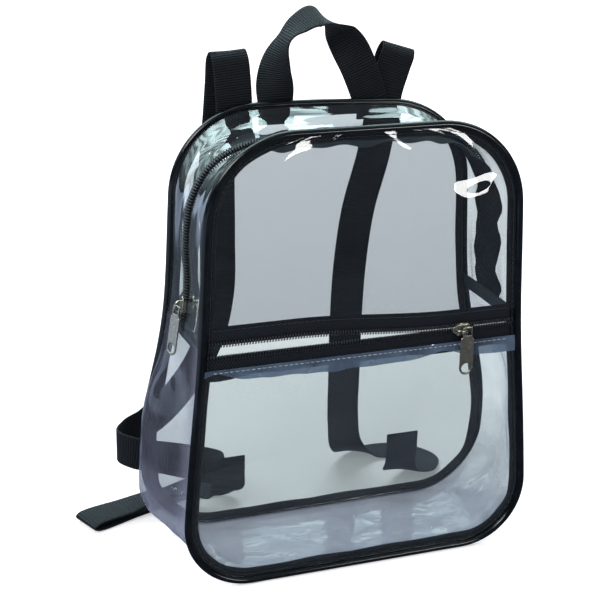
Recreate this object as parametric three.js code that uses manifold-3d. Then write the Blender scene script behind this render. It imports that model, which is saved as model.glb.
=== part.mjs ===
// A small clear vinyl backpack with a zipped front pocket, piped edges,
// a zip over the top of the gusset, a webbing grab handle and two plain
// webbing shoulder straps. Millimetres, +Z up, the front faces -Y, and the
// origin is the middle of the base on the ground.

import * as THREE from "three";
import Module from "manifold-3d";

const wasm = await Module();
wasm.setup();

// Body, measured over the piping
const HEIGHT = 305;
const WIDTH_TOP = 218;
const WIDTH_BOTTOM = 246;
const CORNER_TOP = 61;
const CORNER_BOTTOM = 46;
const DEPTH = 85;
const FRONT_LEAN = 6;
const BACK_LEAN = 2.5;
const WAIST_PULL = 2;
const WAIST_SPREAD = 60;

// Sheet stock and the clearance between pieces
const VINYL = 1;
const TAPE = 0.8;
const WEBBING = 1.5;
const GAP = 0.3;

// Edges
const PIPING = 5;
const BINDING_WIDTH = 5.4;
const BINDING_THICK = 1.2;

// How the filled bag gives: the gusset sags along the top, bulges low on the
// sides and ripples, the lower back spreads, and its right shoulder droops
const TOP_SAG = 13;
const SIDE_BULGE = 10;
const SIDE_RIPPLE = 0.8;
const BACK_SPREAD = 11;
const SHOULDER_DROOP = 4;

// Where it gives, as shares of the height
const BULGE_TOP = 0.56;
const BULGE_FADE = 0.2;
const BULGE_FOOT = 0.12;
const SPREAD_CENTRE = 0.26;
const SPREAD_REACH = 0.2;
const RIPPLE_LENGTH = 0.2;

// Main zip, round the upper part of the gusset
const CHAIN_DEPTH = 0.51;
const JOINT_HEIGHT = 168;
const JOINT_STRIP = 10;
const CHAIN_WIDTH = 6;
const CHAIN_THICK = 1.8;
const CHAIN_SLOT = 10;
const TAPE_REACH = 17;
const TAPE_SPLIT = 0.8;
const MAIN_SLIDER_RISE = 16;

// Front pocket and its zip
const POCKET_ZIP_HEIGHT = 164.5;
const COIL_HEIGHT = 2.8;
const COIL_THICK = 1.9;
const TAPE_SHOWN = 6.6;
const UPPER_TAPE_HIDDEN = 3.6;
const LOWER_TAPE_HIDDEN = 6.6;
const POCKET_OPEN = 6;
const POCKET_SLIDER_ACROSS = 67;
const OPEN_RUN = 110;
const OPEN_FADE = 55;
const POCKET_BULGE = 3;
const POCKET_BACK_BULGE = 9;
const PANEL_BULGE = 2.5;
const POCKET_BACK_TOP = 176;

// Slider and pull, one size for both zips
const SLIDER_LENGTH = 11;
const SLIDER_PLATE = 1.4;
const SLIDER_WALL = 1;
const ARCH_SPAN = 7.6;
const ARCH_BAR = 1;
const ARCH_LEG = 1.2;
const ARCH_WIDTH = 2;
const ARCH_RISE = 4.4;
const PULL_THICK = 1.2;
const PULL_HOLE_WIDTH = 4.8;
const PULL_HOLE_LENGTH = 5;
const PULL_RIM = 1;
const PULL_WIDTH = 9.6;
const PULL_LENGTH = 34;
const PULL_EYE = 6.8;
const PULL_LIFT = 2.2;
const PULL_TURN = 20;
const PULL_CHECKS = [0.4, 0.6, 0.8, 1];

// Webbing
const WEBBING_WIDTH = 25;
const HANDLE_RISE = 54;
const HANDLE_SPAN = 72;
const LOOP_RISE = 33;
const STRAP_REACH = 50;
const SEWN_HEIGHT = 16;
const STRAP_FOOT = 0.11;

// Fineness of the facets, and the least height between two rows of them
const KNOT_CLEAR = 1;
const ARC_STEPS = 7;
const SIDE_SHARES = [0.12, 0.25, 0.38, 0.5, 0.62, 0.76, 0.9];
const FLAT_STEPS = 2;
const CORD_SIDES = 8;
const PANEL_COLUMNS = 10;
const STRIP_STEPS = 14;
const WEBBING_STEPS = 3;

const black = { color: 0x0c0e11, roughness: 0.6, metalness: 0 };
const STOCK = {
  vinyl: { color: 0xb9c4c9, roughness: 0.12, metalness: 0, transparent: true, opacity: 0.3 },
  piping: { color: 0x10141a, roughness: 0.3, metalness: 0 },
  tape: black,
  coil: { color: 0x14171b, roughness: 0.45, metalness: 0 },
  webbing: { color: 0x0b0e10, roughness: 0.8, metalness: 0 },
  metal: { color: 0x8c8677, roughness: 0.35, metalness: 0.9 },
};

const backpack = new THREE.Group();

// Solids from closed sections

function quad(corners, a, b, c, d) {
  corners.push(a, b, c, a, c, d);
}

function fromTriangles(corners) {
  let volume = 0;
  for (let i = 0; i < corners.length; i += 3) {
    volume += corners[i].dot(new THREE.Vector3().crossVectors(corners[i + 1], corners[i + 2]));
  }
  const ordered = [];
  for (let i = 0; i < corners.length; i += 3) {
    const turn = volume < 0;
    ordered.push(corners[i], corners[turn ? i + 2 : i + 1], corners[turn ? i + 1 : i + 2]);
  }
  return new THREE.BufferGeometry().setFromPoints(ordered);
}

// Joins like-numbered closed sections. A section lists one face of the wall
// and then comes back along the other, so that its ends close with quads.
function loft(sections, closed) {
  const corners = [];
  const count = sections[0].length;
  const spans = closed ? sections.length : sections.length - 1;
  for (let i = 0; i < spans; i += 1) {
    const here = sections[i];
    const next = sections[(i + 1) % sections.length];
    for (let j = 0; j < count; j += 1) {
      const k = (j + 1) % count;
      quad(corners, here[j], here[k], next[k], next[j]);
    }
  }
  if (!closed) {
    const first = sections[0];
    const last = sections[sections.length - 1];
    for (let j = 0; j < count / 2 - 1; j += 1) {
      const k = count - 1 - j;
      quad(corners, first[j], first[k], first[k - 1], first[j + 1]);
      quad(corners, last[j], last[j + 1], last[k - 1], last[k]);
    }
  }
  return fromTriangles(corners);
}

function addPiece(name, geometry, stock) {
  geometry.computeVertexNormals();
  const mesh = new THREE.Mesh(geometry, new THREE.MeshStandardMaterial(stock));
  mesh.name = name;
  backpack.add(mesh);
  return mesh;
}

// The outline over the piping, seen from the front

function smooth(value) {
  const t = Math.min(1, Math.max(0, value));
  return t * t * (3 - 2 * t);
}

function waist(z) {
  return WAIST_PULL * Math.exp(-(((z - POCKET_ZIP_HEIGHT) / WAIST_SPREAD) ** 2));
}

function arcKnot(centre, angle) {
  const nx = Math.cos(angle);
  const nz = Math.sin(angle);
  return { x: centre.x + centre.r * nx, z: centre.z + centre.r * nz, nx, nz };
}

// The right half, from the middle of the bottom to the middle of the top
function rightHalf() {
  const low = { x: WIDTH_BOTTOM / 2 - CORNER_BOTTOM, z: CORNER_BOTTOM, r: CORNER_BOTTOM };
  const high = { x: WIDTH_TOP / 2 - CORNER_TOP, z: HEIGHT - CORNER_TOP, r: CORNER_TOP };
  const across = high.x - low.x;
  const rise = high.z - low.z;
  const taper = Math.asin((low.r - high.r) / Math.hypot(across, rise)) - Math.atan2(across, rise);
  const knots = [];
  for (let i = 0; i < FLAT_STEPS; i += 1) {
    knots.push({ x: (low.x * i) / FLAT_STEPS, z: 0, nx: 0, nz: -1 });
  }
  for (let i = 0; i <= ARC_STEPS; i += 1) {
    knots.push(arcKnot(low, -Math.PI / 2 + ((taper + Math.PI / 2) * i) / ARC_STEPS));
  }
  const from = arcKnot(low, taper);
  const to = arcKnot(high, taper);
  for (const share of SIDE_SHARES) {
    const x = from.x + (to.x - from.x) * share;
    knots.push({ x, z: from.z + (to.z - from.z) * share, nx: from.nx, nz: from.nz });
  }
  for (let i = 0; i <= ARC_STEPS; i += 1) {
    knots.push(arcKnot(high, taper + ((Math.PI / 2 - taper) * i) / ARC_STEPS));
  }
  for (let i = FLAT_STEPS - 1; i >= 0; i -= 1) {
    knots.push({ x: (high.x * i) / FLAT_STEPS, z: HEIGHT, nx: 0, nz: 1 });
  }
  return knots.map((knot) => ({ ...knot, x: knot.x - waist(knot.z) * knot.nx }));
}

const RIGHT = rightHalf();

function mirrored(knot) {
  return { ...knot, x: -knot.x, nx: -knot.nx };
}

const RING = [...RIGHT, ...RIGHT.slice(1, -1).reverse().map(mirrored)];

function blendKnots(a, b, t) {
  const mix = (p, q) => p + (q - p) * t;
  return { x: mix(a.x, b.x), z: mix(a.z, b.z), nx: mix(a.nx, b.nx), nz: mix(a.nz, b.nz) };
}

// The knot of the right half that lies at a height on the side
function knotAt(z) {
  const i = RIGHT.findIndex((knot) => knot.z > z);
  const a = RIGHT[i - 1];
  const b = RIGHT[i];
  return blendKnots(a, b, (z - a.z) / (b.z - a.z));
}

// The run of knots over the top, from one height on the right to the left
function overTop(z) {
  const half = [knotAt(z), ...RIGHT.filter((knot) => knot.z > z + KNOT_CLEAR)];
  return [...half, ...half.slice(0, -1).reverse().map(mirrored)];
}

// The run of knots under the bottom, from one height on the left to the right
function underBottom(z) {
  const half = [...RIGHT.filter((knot) => knot.z < z - KNOT_CLEAR), knotAt(z)];
  return [...half.slice(1).reverse().map(mirrored), ...half];
}

// Depth: planes of the two panels, and places between them

function frontPlane(z) {
  return -DEPTH / 2 + (FRONT_LEAN * z) / HEIGHT;
}

function backPlane(z) {
  return DEPTH / 2 + (BACK_LEAN * z) / HEIGHT;
}

function depthAt(z, station) {
  return frontPlane(z) + (backPlane(z) - frontPlane(z)) * station.share + station.off;
}

const GUSSET_INSET = PIPING / 2 - VINYL / 2;
const SEAM_REACH = PIPING / 2 + GAP;

// How far the gusset lies inside its straight line: it sags along the top,
// bulges low on the sides, ripples a little and lies flat on the ground
function sag(knot, share) {
  const hang = TOP_SAG * Math.max(0, knot.nz) ** 1.5 * Math.sin(Math.PI * share);
  const level = knot.z / HEIGHT;
  const low = smooth((BULGE_TOP - level) / BULGE_FADE) * smooth(level / BULGE_FOOT);
  const bulge = SIDE_BULGE * low * Math.sin(Math.PI * share ** 2) * knot.nx ** 2;
  const beat = Math.sin((2 * Math.PI * level) / RIPPLE_LENGTH) * Math.sin(Math.PI * share);
  const ripple = SIDE_RIPPLE * beat * knot.nx ** 2;
  const flat = smooth(-knot.nz * 4 - 3) * smooth(share * 9) * smooth((1 - share) * 9);
  return hang - bulge + ripple - GUSSET_INSET * flat;
}

// The give of the whole bag at a place: none at the front panel, most at the back
function given(point) {
  const depth = (point.y - frontPlane(point.z)) / (backPlane(point.z) - frontPlane(point.z));
  const share = Math.min(1, Math.max(0, depth));
  const level = point.z / HEIGHT;
  const low = Math.exp(-(((level - SPREAD_CENTRE) / SPREAD_REACH) ** 2));
  const shoulder = smooth(0.2 + (1.8 * point.x) / WIDTH_TOP) * level ** 3;
  const x = point.x * (1 + ((2 * BACK_SPREAD) / WIDTH_BOTTOM) * share * low);
  return new THREE.Vector3(x, point.y, point.z - SHOULDER_DROOP * share * shoulder);
}

function bodyLoft(sections, closed) {
  return loft(
    sections.map((section) => section.map(given)),
    closed,
  );
}

function ringPoint(knot, inset, station) {
  const y = depthAt(knot.z, station);
  const share = (y - frontPlane(knot.z)) / (backPlane(knot.z) - frontPlane(knot.z));
  const depth = inset + sag(knot, share);
  return new THREE.Vector3(knot.x - knot.nx * depth, y, knot.z - knot.nz * depth);
}

function gussetSection(knot, stations, outer, inner) {
  const outside = stations.map((station) => ringPoint(knot, outer, station));
  const inside = stations.map((station) => ringPoint(knot, inner, station));
  return [...outside, ...inside.reverse()];
}

function spread(from, to, steps) {
  const stations = [];
  for (let i = 0; i <= steps; i += 1) {
    const t = i / steps;
    stations.push({
      share: from.share + (to.share - from.share) * t,
      off: from.off + (to.off - from.off) * t,
    });
  }
  return stations;
}

function gussetStrip(knots, stations, inset, thick) {
  const sections = knots.map((knot) => gussetSection(knot, stations, inset, inset + thick));
  return bodyLoft(sections, false);
}

const FRONT_SEAM = { share: 0, off: SEAM_REACH };
const BACK_SEAM = { share: 1, off: -SEAM_REACH };
const BETWEEN = [0.12, 0.3, 0.5, 0.7, 0.88].map((share) => ({ share, off: 0 }));
const FULL_DEPTH = [FRONT_SEAM, ...BETWEEN, BACK_SEAM];
const TAPE_INSET = GUSSET_INSET + VINYL + GAP;

function fromChain(off) {
  return { share: CHAIN_DEPTH, off };
}

// Panels

const PANEL_INSET = PIPING + GAP;

// Half the width at a height, for an edge that lies inset from the outline
function halfWidth(z, inset) {
  const edge = RIGHT.map((knot) => ({ x: knot.x - knot.nx * inset, z: knot.z - knot.nz * inset }));
  for (let i = FLAT_STEPS; i < edge.length - FLAT_STEPS; i += 1) {
    const a = edge[i];
    const b = edge[i + 1];
    if (z <= b.z) {
      return a.x + ((b.x - a.x) * Math.max(0, z - a.z)) / (b.z - a.z);
    }
  }
  return edge[edge.length - FLAT_STEPS - 1].x;
}

function rowHeights(low, high, inset) {
  const between = RIGHT.slice(FLAT_STEPS, RIGHT.length - FLAT_STEPS)
    .map((knot) => knot.z - knot.nz * inset)
    .filter((z) => z > low + KNOT_CLEAR && z < high - KNOT_CLEAR);
  return [low, ...between, high];
}

// How far the upper side of the pocket zip stands open above its closed line
function lift(x) {
  const opening = smooth((POCKET_SLIDER_ACROSS - SLIDER_LENGTH / 2 - x) / OPEN_RUN);
  return POCKET_OPEN * opening;
}

function panel(low, high, plane, near, far, shape) {
  const sections = rowHeights(low, high, shape.inset).map((row) => {
    const faces = [[], []];
    for (let i = 0; i <= PANEL_COLUMNS; i += 1) {
      const u = (2 * i) / PANEL_COLUMNS - 1;
      const z = row + (shape.rise ? shape.rise(u * halfWidth(row, shape.inset), row) : 0);
      const x = u * halfWidth(z, shape.inset);
      const swell = shape.swell * (1 - u ** 4) * Math.sin((Math.PI * (row - low)) / (high - low));
      faces[0].push(new THREE.Vector3(x, plane(z) + near + swell, z));
      faces[1].push(new THREE.Vector3(x, plane(z) + far + swell, z));
    }
    return [...faces[0], ...faces[1].reverse()];
  });
  return bodyLoft(sections, false);
}

// A strip across the front between the sides, such as a zip tape
function crossStrip(low, high, near, far, inset, rise) {
  const sections = [];
  for (let i = 0; i <= STRIP_STEPS; i += 1) {
    const u = (2 * i) / STRIP_STEPS - 1;
    const up = rise ? rise(u * halfWidth(low, inset)) : 0;
    const corner = (z, off) => new THREE.Vector3(u * halfWidth(z, inset), frontPlane(z) + off, z);
    const face = [corner(low + up, near), corner(high + up, near)];
    sections.push([...face, corner(high + up, far), corner(low + up, far)]);
  }
  return bodyLoft(sections, false);
}

const POCKET_TOP = POCKET_ZIP_HEIGHT - COIL_HEIGHT - TAPE_SHOWN;
const UPPER_EDGE = POCKET_ZIP_HEIGHT + COIL_HEIGHT + TAPE_SHOWN;
const TAPE_NEAR = VINYL / 2 + GAP;
const BINDING_NEAR = TAPE_NEAR + TAPE + GAP;
const POCKET_BACK_NEAR = BINDING_NEAR + BINDING_THICK + GAP;

function panelRise(x, row) {
  return lift(x) * (1 - smooth((row - UPPER_EDGE) / OPEN_FADE));
}

function addPanels() {
  const half = VINYL / 2;
  const bottom = PANEL_INSET;
  const top = HEIGHT - PANEL_INSET;
  const upper = { inset: PANEL_INSET, swell: -PANEL_BULGE, rise: panelRise };
  const window = panel(UPPER_EDGE, top, frontPlane, -half, half, upper);
  addPiece("front_upper_panel", window, STOCK.vinyl);
  const pocket = { inset: PANEL_INSET, swell: -POCKET_BULGE };
  const face = panel(bottom, POCKET_TOP, frontPlane, -half, half, pocket);
  addPiece("front_pocket_panel", face, STOCK.vinyl);
  const inner = { inset: PANEL_INSET, swell: POCKET_BACK_BULGE };
  const near = POCKET_BACK_NEAR;
  const lining = panel(bottom, POCKET_BACK_TOP, frontPlane, near, near + VINYL, inner);
  addPiece("pocket_back_panel", lining, STOCK.vinyl);
  const back = { inset: PANEL_INSET, swell: 0 };
  addPiece("back_panel", panel(bottom, top, backPlane, -half, half, back), STOCK.vinyl);
}

// Gusset: a clear band under the bottom and up the sides, and two narrower
// bands over the top with the zip between them

function addGusset() {
  const reach = JOINT_HEIGHT - GAP / 2;
  const bottom = gussetStrip(underBottom(reach), FULL_DEPTH, GUSSET_INSET, VINYL);
  addPiece("gusset_bottom", bottom, STOCK.vinyl);
  const top = overTop(JOINT_HEIGHT + GAP / 2);
  const slot = CHAIN_SLOT / 2;
  const front = spread(FRONT_SEAM, fromChain(-slot), 3);
  const back = spread(fromChain(slot), BACK_SEAM, 3);
  addPiece("gusset_top_front", gussetStrip(top, front, GUSSET_INSET, VINYL), STOCK.vinyl);
  addPiece("gusset_top_back", gussetStrip(top, back, GUSSET_INSET, VINYL), STOCK.vinyl);
  for (const side of [1, -1]) {
    const knots = [JOINT_HEIGHT - JOINT_STRIP / 2, JOINT_HEIGHT + JOINT_STRIP / 2].map(knotAt);
    const placed = side > 0 ? knots : knots.map(mirrored);
    const name = side > 0 ? "gusset_joint_right" : "gusset_joint_left";
    addPiece(name, gussetStrip(placed, FULL_DEPTH, TAPE_INSET, TAPE), STOCK.tape);
  }
}

// The knots that the main zip runs over, between the two joint strips
function zipKnots() {
  return overTop(JOINT_HEIGHT + JOINT_STRIP / 2 + GAP);
}

function addMainZip() {
  const knots = zipKnots();
  const split = TAPE_SPLIT / 2;
  const front = spread(fromChain(-TAPE_REACH), fromChain(-split), 2);
  const back = spread(fromChain(split), fromChain(TAPE_REACH), 2);
  addPiece("main_zip_tape_front", gussetStrip(knots, front, TAPE_INSET, TAPE), STOCK.tape);
  addPiece("main_zip_tape_back", gussetStrip(knots, back, TAPE_INSET, TAPE), STOCK.tape);
  const chain = spread(fromChain(-CHAIN_WIDTH / 2), fromChain(CHAIN_WIDTH / 2), 1);
  const inset = TAPE_INSET - GAP - CHAIN_THICK;
  addPiece("main_zip_coil", gussetStrip(knots, chain, inset, CHAIN_THICK), STOCK.coil);
}

// Piping along both edges, and the bound seam allowance inside each

function addPiping(name, plane) {
  const radius = PIPING / 2;
  const sections = RING.map((knot) => {
    const points = [];
    for (let i = 0; i < CORD_SIDES; i += 1) {
      const angle = ((i + 0.5) / CORD_SIDES) * 2 * Math.PI;
      const girth = radius / Math.cos(Math.PI / CORD_SIDES);
      const inset = radius + girth * Math.cos(angle);
      const y = plane(knot.z) + girth * Math.sin(angle);
      points.push(new THREE.Vector3(knot.x - knot.nx * inset, y, knot.z - knot.nz * inset));
    }
    return points;
  });
  addPiece(name, bodyLoft(sections, true), STOCK.piping);
}

function addBinding(name, plane, inward) {
  const start = PIPING - GAP;
  const near = inward * BINDING_NEAR;
  const far = inward * (BINDING_NEAR + BINDING_THICK);
  const sections = RING.map((knot) =>
    [
      [start, near],
      [start + BINDING_WIDTH, near],
      [start + BINDING_WIDTH, far],
      [start, far],
    ].map(([inset, off]) => {
      const x = knot.x - knot.nx * inset;
      return new THREE.Vector3(x, plane(knot.z) + off, knot.z - knot.nz * inset);
    }),
  );
  addPiece(name, bodyLoft(sections, true), STOCK.tape);
}

function addPocketZip() {
  const edge = TAPE_SPLIT / 2;
  const line = POCKET_ZIP_HEIGHT;
  const lowTape = [POCKET_TOP - LOWER_TAPE_HIDDEN, line - edge];
  const highTape = [line + edge, UPPER_EDGE + UPPER_TAPE_HIDDEN];
  const far = TAPE_NEAR + TAPE;
  const lower = crossStrip(...lowTape, TAPE_NEAR, far, PANEL_INSET, null);
  const upper = crossStrip(...highTape, TAPE_NEAR, far, PANEL_INSET, lift);
  addPiece("pocket_zip_tape_lower", lower, STOCK.tape);
  addPiece("pocket_zip_tape_upper", upper, STOCK.tape);
  const back = TAPE_NEAR - GAP;
  const face = back - COIL_THICK;
  const coilInset = PANEL_INSET + GAP;
  const meet = edge / 2;
  const lowRun = [line - meet - COIL_HEIGHT, line - meet];
  const highRun = [line + meet, line + meet + COIL_HEIGHT];
  const lowCoil = crossStrip(...lowRun, face, back, coilInset, null);
  const highCoil = crossStrip(...highRun, face, back, coilInset, lift);
  addPiece("pocket_zip_coil_lower", lowCoil, STOCK.coil);
  addPiece("pocket_zip_coil_upper", highCoil, STOCK.coil);
}

// Sliders and pulls. Local axes: X across the zip, Y along its travel and Z
// out of the face; the origin is on top of the slider's plate.

function extruded(shape, depth, place) {
  const geometry = new THREE.ExtrudeGeometry(shape, { depth, bevelEnabled: false, curveSegments: 8 });
  geometry.deleteAttribute("uv");
  geometry.deleteAttribute("normal");
  return geometry.applyMatrix4(place);
}

function polygon(points) {
  return new THREE.Shape(points.map(([x, y]) => new THREE.Vector2(x, y)));
}

function toManifold(geometry) {
  const position = geometry.getAttribute("position");
  const keys = new Map();
  const vertices = [];
  const triangles = [];
  for (let i = 0; i < position.count; i += 1) {
    const point = [position.getX(i), position.getY(i), position.getZ(i)];
    const key = point.map((value) => Math.round(value * 1e4)).join();
    if (!keys.has(key)) {
      keys.set(key, vertices.length / 3);
      vertices.push(...point);
    }
    triangles.push(keys.get(key));
  }
  const vertProperties = new Float32Array(vertices);
  const triVerts = new Uint32Array(triangles);
  return new wasm.Manifold(new wasm.Mesh({ numProp: 3, vertProperties, triVerts }));
}

function joined(geometries) {
  const solids = geometries.map(toManifold);
  const whole = solids.slice(1).reduce((sum, solid) => sum.add(solid), solids[0]);
  const mesh = whole.getMesh();
  const corners = [];
  for (const index of mesh.triVerts) {
    const at = index * mesh.numProp;
    corners.push(new THREE.Vector3(...mesh.vertProperties.slice(at, at + 3)));
  }
  return fromTriangles(corners);
}

// A channel over the chain, with an arch that carries the pull
function sliderGeometry(chainWidth, chainThick) {
  const inside = chainWidth / 2 + GAP;
  const outside = inside + SLIDER_WALL;
  const foot = -SLIDER_PLATE - chainThick;
  const nose = outside - SLIDER_WALL;
  const edge = -SLIDER_PLATE / 3;
  const channel = polygon([
    [-outside, foot],
    [-inside, foot],
    [-inside, -SLIDER_PLATE],
    [inside, -SLIDER_PLATE],
    [inside, foot],
    [outside, foot],
    [outside, edge],
    [nose, 0],
    [-nose, 0],
    [-outside, edge],
  ]);
  const along = new THREE.Matrix4().makeRotationX(Math.PI / 2);
  along.setPosition(0, SLIDER_LENGTH / 2, 0);
  const body = extruded(channel, SLIDER_LENGTH, along);
  const leg = ARCH_LEG / 2;
  const reach = ARCH_SPAN / 2;
  const sunk = -SLIDER_PLATE / 2;
  const arch = polygon([
    [-reach - leg, sunk],
    [-reach + leg, sunk],
    [-reach + leg, ARCH_RISE - ARCH_BAR],
    [reach - leg, ARCH_RISE - ARCH_BAR],
    [reach - leg, sunk],
    [reach + leg, sunk],
    [reach + leg, ARCH_RISE - ARCH_BAR],
    [reach - leg, ARCH_RISE],
    [-reach + leg, ARCH_RISE],
    [-reach - leg, ARCH_RISE - ARCH_BAR],
  ]);
  const across = new THREE.Matrix4().makeBasis(
    new THREE.Vector3(0, 1, 0),
    new THREE.Vector3(0, 0, 1),
    new THREE.Vector3(1, 0, 0),
  );
  across.setPosition(-ARCH_WIDTH / 2, 0, 0);
  return joined([body, extruded(arch, ARCH_WIDTH, across)]);
}

// A flat pull that hangs down from the origin, which is the middle of its
// top bar: a slot for the arch, a plate, and a round eye at the end
function pullGeometry() {
  const bar = PULL_RIM / 2;
  const neck = PULL_HOLE_WIDTH / 2 + PULL_RIM;
  const slotEnd = -bar - PULL_HOLE_LENGTH;
  const shoulder = slotEnd - PULL_RIM;
  const round = PULL_WIDTH / 2;
  const eyeCentre = bar - PULL_LENGTH + round;
  const shape = new THREE.Shape();
  shape.moveTo(-neck, bar);
  shape.lineTo(-neck, shoulder);
  shape.lineTo(-round, shoulder - PULL_RIM);
  shape.lineTo(-round, eyeCentre);
  shape.absarc(0, eyeCentre, round, Math.PI, 2 * Math.PI, false);
  shape.lineTo(round, shoulder - PULL_RIM);
  shape.lineTo(neck, shoulder);
  shape.lineTo(neck, bar);
  const slot = new THREE.Path();
  slot.moveTo(-PULL_HOLE_WIDTH / 2, -bar);
  slot.lineTo(PULL_HOLE_WIDTH / 2, -bar);
  slot.lineTo(PULL_HOLE_WIDTH / 2, slotEnd);
  slot.lineTo(-PULL_HOLE_WIDTH / 2, slotEnd);
  const eye = new THREE.Path();
  eye.absarc(0, eyeCentre, PULL_EYE / 2, 0, 2 * Math.PI, false);
  shape.holes.push(slot, eye);
  const centred = new THREE.Matrix4().makeTranslation(0, 0, -PULL_THICK / 2);
  return joined([extruded(shape, PULL_THICK, centred)]);
}

// How far the pull swings out on its bar, in radians, to hang clear of the
// gusset under both of its edges
function pullSwing(seat, out) {
  const turn = THREE.MathUtils.degToRad(PULL_TURN);
  const swings = [0];
  for (const share of PULL_CHECKS) {
    const drop = share * PULL_LENGTH;
    const knot = mirrored(knotAt(seat.z - drop));
    for (const half of [-PULL_WIDTH / 2, PULL_WIDTH / 2]) {
      const station = fromChain(half * Math.cos(turn));
      const skin = given(ringPoint(knot, GUSSET_INSET, station)).sub(seat).dot(out);
      const face = PULL_LIFT + half * Math.sin(turn) - PULL_THICK / 2;
      swings.push(Math.asin((skin + GAP - face) / drop));
    }
  }
  return Math.max(...swings);
}

// On the left side of the gusset, where the closed zip ends
function addMainSlider() {
  const top = TAPE_INSET - GAP - CHAIN_THICK - GAP - SLIDER_PLATE;
  const line = zipKnots().map((knot) => given(ringPoint(mirrored(knot), top, fromChain(0))));
  const height = JOINT_HEIGHT + MAIN_SLIDER_RISE;
  const next = line.findIndex((point) => point.z > height);
  const low = line[next - 1];
  const high = line[next];
  const seat = low.clone().lerp(high, (height - low.z) / (high.z - low.z));
  const up = high.clone().sub(low).setY(0).normalize();
  const out = new THREE.Vector3(-up.z, 0, up.x);
  const across = new THREE.Vector3().crossVectors(up, out);
  const frame = new THREE.Matrix4().makeBasis(across, up, out).setPosition(seat);
  const slider = addPiece("main_zip_slider", sliderGeometry(CHAIN_WIDTH, CHAIN_THICK), STOCK.metal);
  slider.applyMatrix4(frame);
  const pull = addPiece("main_zip_pull", pullGeometry(), STOCK.metal);
  const turn = new THREE.Matrix4().makeRotationY(THREE.MathUtils.degToRad(PULL_TURN));
  const raise = new THREE.Matrix4().makeTranslation(0, 0, PULL_LIFT);
  const swing = new THREE.Matrix4().makeRotationX(-pullSwing(seat, out));
  pull.applyMatrix4(frame.clone().multiply(raise).multiply(turn).multiply(swing));
}

// On the front, where the open part of the pocket zip ends
function addPocketSlider() {
  const z = POCKET_ZIP_HEIGHT;
  const y = frontPlane(z) + TAPE_NEAR - GAP - COIL_THICK - GAP - SLIDER_PLATE;
  const seat = new THREE.Vector3(POCKET_SLIDER_ACROSS, y, z);
  const out = new THREE.Vector3(0, -1, 0);
  const travel = new THREE.Vector3(1, 0, 0);
  const across = new THREE.Vector3().crossVectors(travel, out);
  const frame = new THREE.Matrix4().makeBasis(across, travel, out).setPosition(seat);
  const chain = 2 * COIL_HEIGHT + TAPE_SPLIT / 2;
  const slider = addPiece("pocket_zip_slider", sliderGeometry(chain, COIL_THICK), STOCK.metal);
  slider.applyMatrix4(frame);
  const pull = addPiece("pocket_zip_pull", pullGeometry(), STOCK.metal);
  const hung = ARCH_WIDTH / 2 + GAP + PULL_RIM / 2;
  pull.rotation.x = Math.PI / 2;
  pull.position.set(POCKET_SLIDER_ACROSS + ARCH_SPAN / 2, y - PULL_LIFT, z + hung);
}

// Webbing: a flat ribbon along a smooth path, with a width direction that
// turns along it

function ribbon(rows, steps) {
  const centres = new THREE.CatmullRomCurve3(rows.map((row) => row.at), false, "centripetal");
  const widths = new THREE.CatmullRomCurve3(rows.map((row) => row.wide), false, "centripetal");
  const sections = [];
  const count = rows.length - 1;
  for (let i = 0; i <= count * steps; i += 1) {
    const t = i / (count * steps);
    const at = centres.getPoint(t);
    const along = centres.getTangent(t);
    const wide = widths.getPoint(t);
    wide.addScaledVector(along, -wide.dot(along)).setLength(WEBBING_WIDTH / 2);
    const thick = new THREE.Vector3().crossVectors(along, wide).setLength(WEBBING / 2);
    sections.push([
      at.clone().add(wide).add(thick),
      at.clone().sub(wide).add(thick),
      at.clone().sub(wide).sub(thick),
      at.clone().add(wide).sub(thick),
    ]);
  }
  return loft(sections, false);
}

const SEWN = VINYL / 2 + GAP + WEBBING / 2;
const OVER_PIPING = PIPING / 2 + GAP + WEBBING / 2;
const LAYER = WEBBING + GAP;

// Rows of a webbing path. across: share of half the bottom width. up: share
// of the height. rise: share of a loop's height above the top. behind: share
// of the straps' reach behind the back panel. over: 0 sewn flat on the panel,
// 1 stepped out over the piping. layer: 1 over another webbing. wide: the
// direction of the width.
function webbingRow(row, loopRise) {
  const z = row.up * HEIGHT + (row.rise ?? 0) * loopRise;
  const step = SEWN + (OVER_PIPING - SEWN) * (row.over ?? 0) + LAYER * (row.layer ?? 0);
  const y = backPlane(Math.min(z, HEIGHT)) + step + (row.behind ?? 0) * STRAP_REACH;
  const at = new THREE.Vector3((row.across * WIDTH_BOTTOM) / 2, y, z);
  return { at, wide: new THREE.Vector3(...row.wide) };
}

function addWebbing(name, table, loopRise) {
  const rows = table.map((row) => webbingRow(row, loopRise));
  addPiece(name, ribbon(rows, WEBBING_STEPS), STOCK.webbing);
}

const SEWN_UP = 1 - SEWN_HEIGHT / HEIGHT;

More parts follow.
